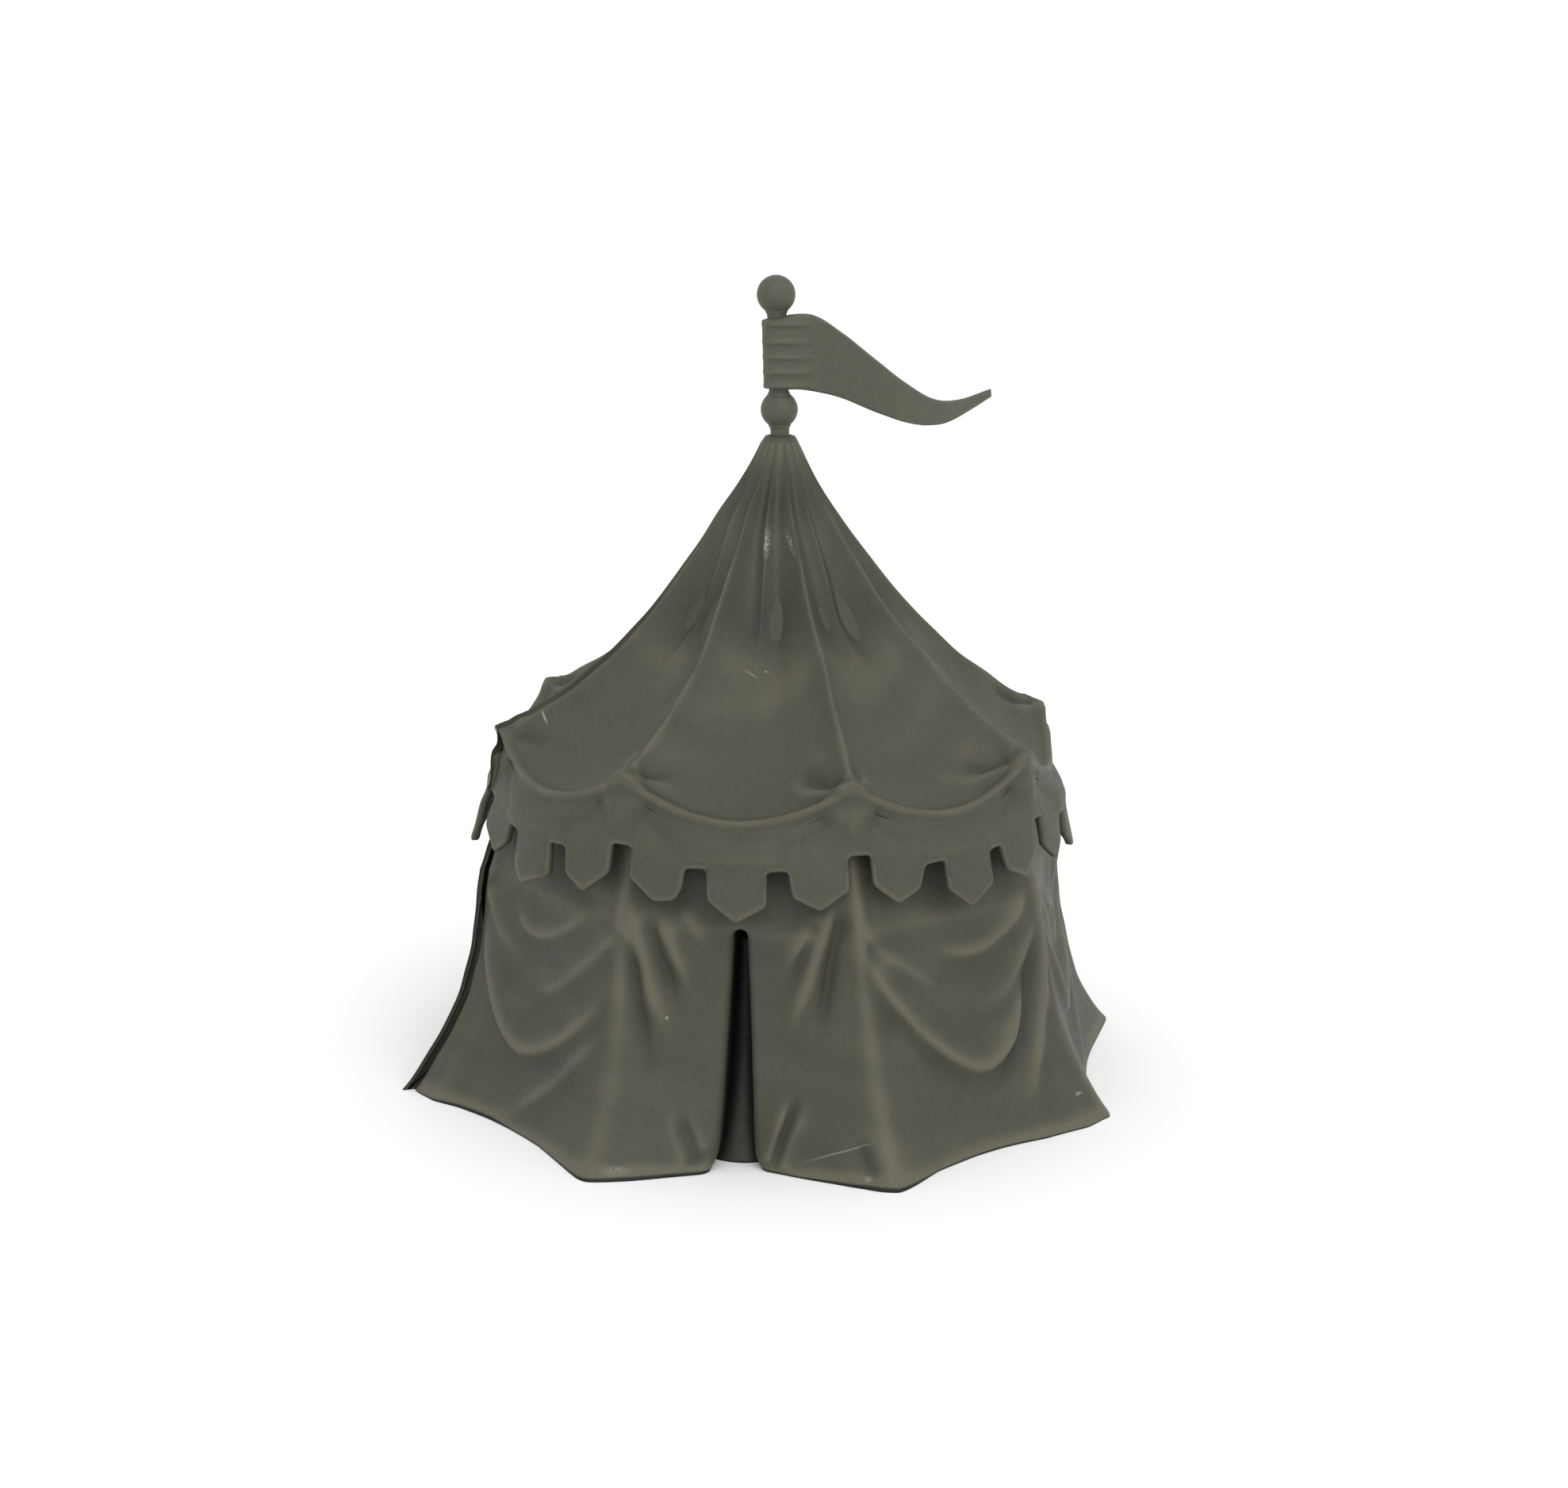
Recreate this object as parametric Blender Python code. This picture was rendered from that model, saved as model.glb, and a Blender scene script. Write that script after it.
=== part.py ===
"""Small moulded model of an eight-sided circus tent, standing on its open hem.

Roof gores run from a crown to scalloped eaves. A dagged valance hangs below the eaves. Draped walls flare to the
ground, with a narrow doorway in front, and a pole with two balls and a pennant stands in the crown.
Metres, +Z up. The origin is on the ground under the crown, and the doorway faces -Y.
"""

import math

import bmesh
import bpy
from mathutils import Euler, Vector

MM = 0.001

# Driving dimensions of the tent, in millimetres until a point is placed
SIDES = 8
HALF_SIDE = math.pi / SIDES
EAVES_RADIUS = 41.8
EAVES_HEIGHT = 53.5
CROWN_RADIUS = 2.35
CROWN_HEIGHT = 96.5
BASE_RADIUS = 57.1
TWIST = math.radians(4.0)
SEAM_GAP = 0.06
MOULD_GAP = 0.45
PROUD_HEIGHT = 1.0
PROUD_REACH = 4.0

# Thickness of each moulded sheet
ROOF_THICKNESS = 1.5
VALANCE_THICKNESS = 1.3
WALL_THICKNESS = 1.8
FIT_GAP = 0.25

# Eaves and valance
EAVES_BULGE = 2.6
SCALLOP_DROP = 5.0
VALANCE_RADIUS = 43.9
VALANCE_RADIUS_HEIGHT = 42.3
VALANCE_FLARE = 0.2
VALANCE_TURN = 3.6
SLOT_HEIGHT_CORNER = 44.3
SLOT_HEIGHT_MIDDLE = 42.4
TAB_PITCH = 11.65
TAB_SHIFT = 1.0
TAB_WIDTH = 8.4
SHOULDER_DROP, SIDE_SHOULDER_DROP = 4.2, 3.7
TIP_DROP, SIDE_TIP_DROP = 6.9, 6.0

# Walls: corner line, then how far each side is drawn in between its corners
WALL_WAIST_RADIUS = 42.6
FLARE_HEIGHT = 15.0
SHOULDER_HEIGHT = 33.0
SHOULDER_SLOPE = 0.27
WAIST_INSET = 0.2
FOOT_INSETS = (0.0, 2.7, 4.0, 3.2, 3.0, 3.3, 3.0, 2.5)
FOOT_INSET_HEIGHT = 12.0
DOOR_WAIST_INSET = 0.3
DOOR_INSET_LEFT, DOOR_INSET_RIGHT = 5.6, 6.6
DOOR_INSET_HEIGHT = 13.0

# Swags between two corners: height at the left, at the lowest point and at the right, across there, and fold height
SWAGS = (
    (31.5, 27.4, 33.0, 0.10, 0.6),
    (31.5, 19.2, 31.0, 0.15, 0.5),
    (30.5, 11.0, 25.5, 0.10, 1.1),
    (6.0, 2.0, 19.5, -0.10, 0.6),
)
SWAG_WIDTH_ABOVE, SWAG_WIDTH_BELOW = 3.2, 1.8

# Doorway
SLIT_TOP = 33.2
SLIT_CENTRE = 1.05
SLIT_CENTRE_SHIFT = 0.77
SLIT_HALF_TOP = 0.85
SLIT_HALF_GROWTH = 1.62
SLIT_FOOT_SPREAD = 1.1
RECESS_DEPTH, RECESS_FOOT_DEPTH = 6.5, 2.6
RETURN_WIDTH = 1.5
CURTAIN_THICKNESS = 1.4

# Pole, balls and pennant
POLE_RADIUS = 1.42
POLE_FOOT = 92.0
POLE_TOP = 115.6
POLE_LEAN = math.radians(2.3)
PENNANT_TURN = math.radians(8.0)
LOWER_BALL_HEIGHT, LOWER_BALL_RADIUS = 100.35, 2.74
TOP_BALL_HEIGHT, TOP_BALL_RADIUS = 117.1, 2.85
SLEEVE_BOTTOM, SLEEVE_TOP = 103.4, 113.7
SLEEVE_RADIUS = 2.3
PLEAT_COUNT = 4
PENNANT_LENGTH = 28.4
PENNANT_THICKNESS = 1.1
PENNANT_MIDDLE_LINE = (108.4, 108.4, 93.4, 102.4)
PENNANT_HALF_HEIGHT = (5.25, 5.3, 0.65, 0.5)
WAVE_NEAR, WAVE_FAR = -1.6, 3.6

DOOR_ROWS = (0, 0.03, 0.08, 0.16, 0.26, 0.37, 0.48, 0.6, 0.72, 0.82, 0.9, 0.96, 1)
WALL_COLUMNS = (-1, -0.94, -0.82, -0.66, -0.48, -0.26, 0, 0.26, 0.48, 0.66, 0.82, 0.94, 1)

SIDE_NAMES = (
    "front", "front_right", "right", "back_right",
    "back", "back_left", "left", "front_left",
)


def smooth(low, high, value):
    """Rises from 0 at low to 1 at high with level ends."""
    share = min(1.0, max(0.0, (value - low) / (high - low)))
    return share * share * (3 - 2 * share)


def on_axis(azimuth, radius, height):
    """Point at an azimuth measured from -Y towards +X, in metres."""
    return Vector((radius * math.sin(azimuth), -radius * math.cos(azimuth), height)) * MM


def twist_at(height):
    """The skirt is turned a little against the eaves, more towards the ground."""
    return TWIST * max(0.0, 1 - height / EAVES_HEIGHT)


def chord(radius, across):
    """Radius of an octagon's straight side at across, from -1 at one corner to 1 at the next."""
    return radius * math.cos(HALF_SIDE) / math.cos(across * HALF_SIDE)


def hang(across):
    """1 at the middle of a side and 0 at its corners."""
    return 1 - across * across


def eaves(across):
    """Radius and height of the scalloped eaves, whose sides bow out."""
    radius = chord(EAVES_RADIUS, across) + EAVES_BULGE * hang(across)
    return radius, EAVES_HEIGHT - SCALLOP_DROP * hang(across) ** 1.15


def proud(side, across, radius):
    """The back moulding stands out beside the front one, at the front left corner."""
    if SIDE_NAMES[side] != "left":
        return 0.0
    return PROUD_HEIGHT * math.exp(-(1 - across) * HALF_SIDE * radius / PROUD_REACH)


def cubic(handles, along):
    """Cubic curve through its first and last of four handles."""
    rest = 1 - along
    weights = (rest ** 3, 3 * rest ** 2 * along, 3 * rest * along ** 2, along ** 3)
    return sum(weight * handle for weight, handle in zip(weights, handles))


def roof_outer(side, across, down):
    """Radius and height on the roof: a concave line from the crown, down 0, to the eaves, down 1."""
    edge_radius, edge_height = eaves(across)
    rise = 1 - down
    slope_eaves, slope_crown = 0.38, 1.84
    height_share = (
        (rise ** 3 - 2 * rise ** 2 + rise) * slope_eaves
        + (3 * rise ** 2 - 2 * rise ** 3)
        + (rise ** 3 - rise ** 2) * slope_crown
    )
    radius = CROWN_RADIUS + (edge_radius - CROWN_RADIUS) * down
    height = edge_height + (CROWN_HEIGHT - edge_height) * height_share
    pleat = math.cos(2 * math.pi * across) * smooth(0.0, 0.08, down) * (1 - smooth(0.2, 0.6, down))
    ridge = math.exp(-(((1 - abs(across)) * down) / 0.07) ** 2) * smooth(0.1, 0.5, down)
    return radius + 0.45 * pleat + 0.25 * ridge + proud(side, across, radius), height


def roof_inner(side, across, down):
    """The underside, offset straight down at the eaves and straight in at the crown."""
    radius, height = roof_outer(side, across, down)
    turn = math.radians(90) * (1 - down) ** 0.8
    thickness = 0.85 + (ROOF_THICKNESS - 0.85) * smooth(0.0, 0.25, down)
    return radius - thickness * math.sin(turn), height - thickness * math.cos(turn)


def valance_bottom(across):
    """Height of the line that the slots reach up to."""
    return SLOT_HEIGHT_CORNER - (SLOT_HEIGHT_CORNER - SLOT_HEIGHT_MIDDLE) * hang(across)


def valance_radius(side, across, height):
    """A flaring ring, which the eaves line turns down to over the first few millimetres."""
    edge_radius, edge_height = eaves(across)
    ring = VALANCE_RADIUS + VALANCE_FLARE * (VALANCE_RADIUS_HEIGHT - height)
    short = VALANCE_RADIUS + VALANCE_FLARE * (VALANCE_RADIUS_HEIGHT - edge_height) - edge_radius
    radius = ring - short * (1 - smooth(0, VALANCE_TURN, edge_height - height))
    return radius + proud(side, across, radius)


def draped_radius(side, across, height):
    """Outer radius of the wall before its folds."""
    corner = WALL_WAIST_RADIUS + (BASE_RADIUS - WALL_WAIST_RADIUS) * math.exp(-height / FLARE_HEIGHT)
    corner -= SHOULDER_SLOPE * max(0.0, height - SHOULDER_HEIGHT)
    if side == 0:
        drawn_in = DOOR_INSET_LEFT + (DOOR_INSET_RIGHT - DOOR_INSET_LEFT) * smooth(-0.3, 0.3, across)
        flare = math.exp(-height / DOOR_INSET_HEIGHT)
        inset = DOOR_WAIST_INSET * hang(across) + drawn_in * flare * (1 - abs(across)) ** 1.05
    else:
        flare = math.exp(-height / FOOT_INSET_HEIGHT)
        inset = (WAIST_INSET + FOOT_INSETS[side] * flare) * (1 - abs(across) ** 1.7)
    radius = chord(corner, across) - inset
    return radius + proud(side, across, radius)


def wall_radius(side, across, height):
    return draped_radius(side, across, height) + wall_folds(side, across, height)


def wall_folds(side, across, height):
    """Outward height of the folds: hanging swags, and on the doorway's side folds that fan from the corners."""
    fade = hang(across) ** 0.7 * (1 - smooth(33, 40, height))
    if side == 0:
        reach = (1 - abs(across)) * 18
        fan = reach / max(6.0, 44 - height)
        return 0.55 * math.cos(2 * math.pi * fan / 0.16) * fade * smooth(0, 14, height)
    mirror = -1 if side in (3, 4, 6) else 1
    total = -0.3 * smooth(2, 10, height)
    for left, lowest, right, middle, depth in SWAGS:
        reach = mirror * across - middle
        end, span = (right, 1 - middle) if reach > 0 else (left, 1 + middle)
        line = lowest + (end - lowest) * (abs(reach) / span) ** 1.6
        width = SWAG_WIDTH_ABOVE if height > line else SWAG_WIDTH_BELOW
        total += depth * math.exp(-((height - line) / width) ** 2)
    return total * fade


def underside(side, across, radius):
    """Height of the roof's underside at a radius, found by halving between the eaves and the upper slope."""
    upper, lower = 0.3, 1.0
    for _ in range(30):
        down = (upper + lower) / 2
        if roof_inner(side, across, down)[0] > radius:
            lower = down
        else:
            upper = down
    return roof_inner(side, across, upper)[1]


def wall_top(side, across):
    """The wall ends just under the roof."""
    height = EAVES_HEIGHT - SCALLOP_DROP
    for _ in range(5):
        height = underside(side, across, draped_radius(side, across, height)) - FIT_GAP
    return height


def slit_edge(way, height):
    """Distance of the doorway's edge to the right of the tent's middle, with way -1 for left and 1 for right."""
    share = min(1.0, max(0.0, 1 - height / SLIT_TOP))
    opened = math.sqrt(min(1.0, max(0.15, (SLIT_TOP - height) / 1.6)))
    half = opened * (SLIT_HALF_TOP + SLIT_HALF_GROWTH * share ** 0.9) + SLIT_FOOT_SPREAD * math.exp(-height / 1.2)
    return SLIT_CENTRE + SLIT_CENTRE_SHIFT * share ** 1.5 + way * half


def across_of(offset, height):
    """Turns a distance to the right of the tent's middle into an across value on the turned front."""
    radius = wall_radius(0, 0.0, height)
    return (math.asin(offset / radius) - twist_at(height)) / HALF_SIDE


def spaced(low, high, count):
    return [low + (high - low) * i / count for i in range(count + 1)]


def clear_scene():
    for thing in list(bpy.data.objects):
        bpy.data.objects.remove(thing, do_unlink=True)


def plastic(name, colour, roughness):
    """Matt moulding plastic."""
    made = bpy.data.materials.new(name)
    made.use_nodes = True
    shader = made.node_tree.nodes["Principled BSDF"]
    shader.inputs["Base Color"].default_value = (*colour, 1.0)
    shader.inputs["Roughness"].default_value = roughness
    shader.inputs["Metallic"].default_value = 0.0
    return made


def add_object(name, mesh_builder, material, smooth_angle=40):
    mesh = bpy.data.meshes.new(name)
    mesh_builder.to_mesh(mesh)
    mesh_builder.free()
    mesh.materials.append(material)
    mesh.shade_smooth()
    mesh.set_sharp_from_angle(angle=math.radians(smooth_angle))
    thing = bpy.data.objects.new(name, mesh)
    bpy.context.scene.collection.objects.link(thing)
    return thing


def face_outward(builder):
    """Turns every face out, so that the enclosed volume is positive."""
    bmesh.ops.recalc_face_normals(builder, faces=builder.faces[:])
    if builder.calc_volume(signed=True) < 0:
        bmesh.ops.reverse_faces(builder, faces=builder.faces[:])


def thick_sheet(name, columns, rows, outer, inner, material):
    """A grid extruded into a closed sheet, then moved onto its outer and inner surfaces.

    outer and inner turn a column value and a row value into a point.
    """
    builder = bmesh.new()
    bmesh.ops.create_grid(builder, x_segments=len(columns) - 1, y_segments=len(rows) - 1, size=1.0)
    front = list(builder.verts)
    places = [
        (columns[round((v.co.x + 1) / 2 * (len(columns) - 1))], rows[round((v.co.y + 1) / 2 * (len(rows) - 1))])
        for v in front
    ]
    grown = bmesh.ops.extrude_face_region(builder, geom=builder.faces[:], use_keep_orig=True)
    back = [item for item in grown["geom"] if isinstance(item, bmesh.types.BMVert)]
    beside = {tuple(round(c, 5) for c in v.co): place for v, place in zip(front, places)}
    back_places = [beside[tuple(round(c, 5) for c in v.co)] for v in back]
    for vert, (column, row) in zip(front, places):
        vert.co = outer(column, row)
    for vert, (column, row) in zip(back, back_places):
        vert.co = inner(column, row)
    face_outward(builder)
    return add_object(name, builder, material)


def side_angle(side, across, height, gap_low, gap_high, radius):
    """Azimuth on a side, kept clear of the next side by a gap at each corner."""
    angle = across * HALF_SIDE
    angle = max(angle, -HALF_SIDE + gap_low / 2 / radius)
    angle = min(angle, HALF_SIDE - gap_high / 2 / radius)
    return 2 * HALF_SIDE * side + angle + twist_at(height)


def corner_gaps(side):
    """The two half mouldings meet at the front left corner and at the corner behind the right side."""
    name = SIDE_NAMES[side]
    low = MOULD_GAP if name in ("front_left", "back_right") else SEAM_GAP
    high = MOULD_GAP if name in ("left", "right") else SEAM_GAP
    return low, high


def roof_gore(side, material):
    def point(surface):
        def place(across, down):
            radius, height = surface(side, across, down)
            angle = side_angle(side, across, EAVES_HEIGHT, SEAM_GAP, SEAM_GAP, radius)
            return on_axis(angle, radius, height)
        return place

    columns = [-1, -0.94, -0.8, -0.55, -0.25, 0, 0.25, 0.55, 0.8, 0.94, 1]
    rows = [0, 0.03, 0.08, 0.16, 0.28, 0.42, 0.58, 0.74, 0.88, 1]
    return thick_sheet(
        f"roof_gore_{SIDE_NAMES[side]}", columns, rows, point(roof_outer), point(roof_inner), material
    )


def tab_outline():
    """Columns across a valance side, in millimetres from its middle, each with its drop below the slot line."""
    half = TAB_WIDTH / 2
    draft = 0.25
    columns = []
    for tab in (-1, 0, 1):
        middle = tab * TAB_PITCH + TAB_SHIFT
        shoulder, tip = (SIDE_SHOULDER_DROP, SIDE_TIP_DROP) if tab else (SHOULDER_DROP, TIP_DROP)
        columns += [
            (middle - half - draft, 0.0), (middle - half, shoulder), (middle - half / 2, (shoulder + tip) / 2),
            (middle, tip), (middle + half / 2, (shoulder + tip) / 2), (middle + half, shoulder),
            (middle + half + draft, 0.0),
        ]
    return columns


def valance_side(side, material):
    half_width = (VALANCE_RADIUS + 0.6) * HALF_SIDE
    drops = {-1.0: 0.0, 1.0: 0.0}
    for offset, drop in tab_outline():
        drops[offset / half_width] = drop
    columns = sorted(drops)
    rows = spaced(0, 1, 4)

    def point(depth):
        def place(across, down):
            top = eaves(across)[1] - ROOF_THICKNESS - FIT_GAP
            bottom = valance_bottom(across) - drops[across]
            height = top + (bottom - top) * down
            radius = valance_radius(side, across, height) - depth
            return on_axis(side_angle(side, across, EAVES_HEIGHT, SEAM_GAP, SEAM_GAP, radius), radius, height)
        return place

    return thick_sheet(f"valance_{SIDE_NAMES[side]}", columns, rows, point(0), point(VALANCE_THICKNESS), material)


def wall_point(side, across, height, depth):
    low, high = corner_gaps(side)
    radius = wall_radius(side, across, height) - depth
    return on_axis(side_angle(side, across, height, low, high, radius), radius, height)


def recess_depth(height):
    """Depth of the doorway's returns, less at the foot."""
    return RECESS_DEPTH - (RECESS_DEPTH - RECESS_FOOT_DEPTH) * math.exp(-height / 9)


def recess_point(across, height, depth):
    """Point behind the doorway, measured in from the wall before its folds."""
    radius = draped_radius(0, across, height) - depth
    return on_axis(across * HALF_SIDE + twist_at(height), radius, height)


def wall_side(side, material):
    rows = [0, 0.04, 0.09, 0.15, 0.21, 0.27, 0.33, 0.39, 0.45, 0.51, 0.57, 0.63, 0.7, 0.79, 0.89, 1]

    def outer(across, up):
        return wall_point(side, across, up * wall_top(side, across), 0)

    def inner(across, up):
        return wall_point(side, across, up * wall_top(side, across), WALL_THICKNESS)

    return thick_sheet(f"wall_{SIDE_NAMES[side]}", WALL_COLUMNS, rows, outer, inner, material)


def door_leaf(way, material):
    """Half of the front below the slit's top. Its edge rolls in and runs back to the inner curtain."""
    name = "door_leaf_right" if way > 0 else "door_leaf_left"
    columns = [0, 0.1, 0.28, 0.46, 0.64, 0.8, 0.9, 0.901, 0.96, 1]
    rows = DOOR_ROWS
    flange = columns.index(0.901)

    def across_at(share, height):
        corner, edge = way, across_of(slit_edge(way, height), height)
        start = edge + way * RETURN_WIDTH / (wall_radius(0, 0.0, height) * HALF_SIDE)
        if share >= columns[flange]:
            return start + (edge - start) * (share - columns[flange]) / (1 - columns[flange])
        return corner + (start + way * 0.004 - corner) * share / columns[flange - 1]

    def outer(share, up):
        height = up * SLIT_TOP
        roll = 0.5 * smooth(0.93, 1, share)
        return wall_point(0, across_at(share, height), height, roll)

    def inner(share, up):
        height = up * SLIT_TOP
        if share >= columns[flange]:
            return recess_point(across_at(share, height), height, recess_depth(height))
        return wall_point(0, across_at(share, height), height, WALL_THICKNESS)

    return thick_sheet(name, columns, rows, outer, inner, material)


def door_head(material):
    """The front above the slit."""
    rows = spaced(0, 1, 5)

    def height_at(across, up):
        low = SLIT_TOP + SEAM_GAP
        return low + (wall_top(0, across) - low) * up

    def outer(across, up):
        return wall_point(0, across, height_at(across, up), 0)

    def inner(across, up):
        return wall_point(0, across, height_at(across, up), WALL_THICKNESS)

    return thick_sheet("door_head", WALL_COLUMNS, rows, outer, inner, material)


def inner_curtain(material):
    """The curved strip that closes the doorway behind its two edges."""
    columns = spaced(-1, 1, 4)
    rows = DOOR_ROWS

    def place(share, up, depth):
        height = up * SLIT_TOP
        left, right = (across_of(slit_edge(way, height), height) for way in (-1, 1))
        reach = RETURN_WIDTH * 0.9 / (wall_radius(0, 0.0, height) * HALF_SIDE)
        across = (left + right) / 2 + share * ((right - left) / 2 + reach)
        return recess_point(across, height, recess_depth(height) + FIT_GAP + depth)

    return thick_sheet(
        "inner_curtain", columns, rows,
        lambda share, up: place(share, up, 0), lambda share, up: place(share, up, CURTAIN_THICKNESS), material,
    )


def turned(name, profile, steps, material):
    """A closed profile of (radius, height) spun about the pole's axis. Points at radius 0 close the ends."""
    builder = bmesh.new()
    closed = all(radius > 0 for radius, _ in profile)
    verts = [builder.verts.new(Vector((radius, 0, height)) * MM) for radius, height in profile]
    edges = [builder.edges.new(pair) for pair in zip(verts, verts[1:])]
    if closed:
        edges.append(builder.edges.new((verts[-1], verts[0])))
    bmesh.ops.spin(
        builder, geom=verts + edges, cent=(0, 0, 0), axis=(0, 0, 1), angle=2 * math.pi, steps=steps, use_merge=True
    )
    bmesh.ops.remove_doubles(builder, verts=builder.verts[:], dist=0.00001)
    face_outward(builder)
    return add_object(name, builder, material)


def ball_profile(centre, radius, bore, low_open):
    """Half outline of a ball on the pole, from its lower bore edge round to the top."""
    start = math.asin(min(1.0, bore / radius))
    end = start if low_open else 0.0
    return [
        (radius * math.sin(angle), centre - radius * math.cos(angle))
        for angle in spaced(start, math.pi - end, 10)
    ]


def pole_parts(carrier, material):
    bore = POLE_RADIUS + 0.05
    pole = turned(
        "flagpole",
        [(0, POLE_FOOT), (POLE_RADIUS - 0.3, POLE_FOOT), (POLE_RADIUS, POLE_FOOT + 0.5),
         (POLE_RADIUS, POLE_TOP), (0, POLE_TOP)],
        20, material,
    )
    bead = turned("lower_ball", ball_profile(LOWER_BALL_HEIGHT, LOWER_BALL_RADIUS, bore, True), 20, material)
    finial_outline = ball_profile(TOP_BALL_HEIGHT, TOP_BALL_RADIUS, bore, False)
    finial_outline[-1] = (0, TOP_BALL_HEIGHT + TOP_BALL_RADIUS)
    socket = POLE_TOP + 0.05
    finial = turned("top_ball", [(0, socket), (bore, socket)] + finial_outline, 20, material)
    pleats = [
        (SLEEVE_RADIUS - 0.25 * math.cos(2 * math.pi * share * PLEAT_COUNT) * smooth(0, 0.1, share),
         SLEEVE_BOTTOM + (SLEEVE_TOP - SLEEVE_BOTTOM) * share)
        for share in spaced(0, 1, 3 * PLEAT_COUNT)
    ]
    sleeve = turned("pennant_sleeve", [(bore, SLEEVE_BOTTOM)] + pleats + [(bore, SLEEVE_TOP)], 20, material)
    for thing in (pole, bead, finial, sleeve, pennant(material)):
        thing.parent = carrier


def pennant(material):
    """The fly of the pennant: a long taper that falls, then lifts at its tip, with a slow wave from side to side."""
    start = SLEEVE_RADIUS + 0.3

    def place(along, share, depth):
        out = start + PENNANT_LENGTH * along
        wave = WAVE_NEAR * smooth(3, 17.5, out) + WAVE_FAR * smooth(16.5, 31, out)
        thickness = PENNANT_THICKNESS * (1 - 0.25 * along)
        height = cubic(PENNANT_MIDDLE_LINE, along) + share * cubic(PENNANT_HALF_HEIGHT, along) - 0.25 * wave
        return Vector((out, wave + depth * thickness, height)) * MM

    thing = thick_sheet(
        "pennant", spaced(0, 1, 16), spaced(-1, 1, 4),
        lambda along, share: place(along, share, -0.5), lambda along, share: place(along, share, 0.5), material,
    )
    thing.rotation_euler = Euler((0, 0, PENNANT_TURN))
    return thing


def main():
    clear_scene()
    cloth = plastic("moulded_cloth", (0.094, 0.095, 0.074), 0.62)
    pole = plastic("moulded_pole", (0.11, 0.108, 0.086), 0.6)
    for side in range(SIDES):
        roof_gore(side, cloth)
        valance_side(side, cloth)
        if side:
            wall_side(side, cloth)
    door_leaf(-1, cloth)
    door_leaf(1, cloth)
    door_head(cloth)
    inner_curtain(cloth)
    carrier = bpy.data.objects.new("pole_carrier", None)
    bpy.context.scene.collection.objects.link(carrier)
    pole_parts(carrier, pole)
    # The pole leans a little away from the pennant, about the crown
    carrier.rotation_euler = Euler((0, -POLE_LEAN, PENNANT_TURN), "YXZ")
    seat = Vector((0, 0, CROWN_HEIGHT)) * MM
    carrier.location = seat - carrier.rotation_euler.to_matrix() @ seat


main()
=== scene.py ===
import math

import bpy
import numpy as np
from mathutils import Matrix, Vector


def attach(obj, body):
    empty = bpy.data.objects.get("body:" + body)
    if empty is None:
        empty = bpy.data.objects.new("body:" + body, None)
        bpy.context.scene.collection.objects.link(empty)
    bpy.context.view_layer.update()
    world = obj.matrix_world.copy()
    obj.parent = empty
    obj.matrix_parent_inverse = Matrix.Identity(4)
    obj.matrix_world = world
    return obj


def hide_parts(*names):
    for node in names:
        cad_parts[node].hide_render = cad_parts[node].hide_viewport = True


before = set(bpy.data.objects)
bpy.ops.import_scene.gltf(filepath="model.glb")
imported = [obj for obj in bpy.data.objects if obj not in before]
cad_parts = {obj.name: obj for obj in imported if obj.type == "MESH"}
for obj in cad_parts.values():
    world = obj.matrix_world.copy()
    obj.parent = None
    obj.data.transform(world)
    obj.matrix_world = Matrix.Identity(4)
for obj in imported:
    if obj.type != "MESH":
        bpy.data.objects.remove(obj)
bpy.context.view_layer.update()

mm = 0.001
sideNames = ["front", "front_right", "right", "back_right", "back", "back_left", "left", "front_left"]
sideAngle = math.radians(45)
halfSide = sideAngle / 2

# Azimuths run from -Y towards +X. The two half mouldings meet at these corners.
seam = {"left": -1.5 * sideAngle, "right": 2.5 * sideAngle, "halfGap": 0.22}

eavesValues = {"radius": 41.8, "height": 53.5, "drop": 5.0, "bulge": 2.6}
roofValues = {
    "crownRadius": 2.35, "crownHeight": 96.5, "eavesSlope": 0.38, "crownSlope": 1.84,
    "thickness": 1.5, "pleatDepth": 1.3, "ridgeHeight": 0.95, "ridgeWidth": 1.1, "sag": 0.45,
    "waistSag": 1.4, "beadHeight": 0.5, "beadWidth": 0.75, "knotHeight": 0.5, "knotWidth": 1.9,
}
valanceValues = {
    "radius": 43.9, "radiusHeight": 42.3, "flare": 0.2, "turnOut": 3.6, "thickness": 1.3, "edgeRound": 0.42,
    "cornerRound": 0.55,
}
wallValues = {
    "waist": 42.6, "flare": 14.5, "flareHeight": 15.0, "shoulderHeight": 33.0, "shoulderSlope": 0.27,
    "twist": math.radians(4.0), "inset": 0.2, "insetHeight": 12.0, "thickness": 1.8, "footRound": 0.3,
    "footInset": (0, 2.7, 4.0, 3.2, 3.0, 3.3, 3.0, 2.5), "doorInset": (5.6, 6.6), "doorInsetHeight": 13.0,
    "foldScale": 1.35, "paintedShadeUnderValance": 1.1,
}
proudEdge = {"wall": 1.4, "foot": 0.1, "valance": 0.6, "tabs": 0.8, "roof": 0.6, "right": 1.45, "reach": 4.0}


def smoothStep(low, high, x):
    # t*t*(3 - 2t), where t runs from 0 at low to 1 at high
    t = np.clip((x - low) / (high - low), 0, 1)
    return t * t * (3 - 2 * t)


def sideOf(azimuth):
    # the side that an azimuth is on, and where on it: -1 at one corner, 0 in the middle, 1 at the next
    side = np.floor(azimuth / sideAngle + 0.5)
    return side.astype(int) % 8, (azimuth - side * sideAngle) / halfSide


def chord(radius, across):
    # straight side of an octagon with corners at radius: radius * cos(22.5 deg) / cos(angle from the middle)
    return radius * math.cos(halfSide) / np.cos(across * halfSide)


def hang(across):
    # 1 in the middle of a side, 0 at its corners, a parabola between
    return 1 - across * across


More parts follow.
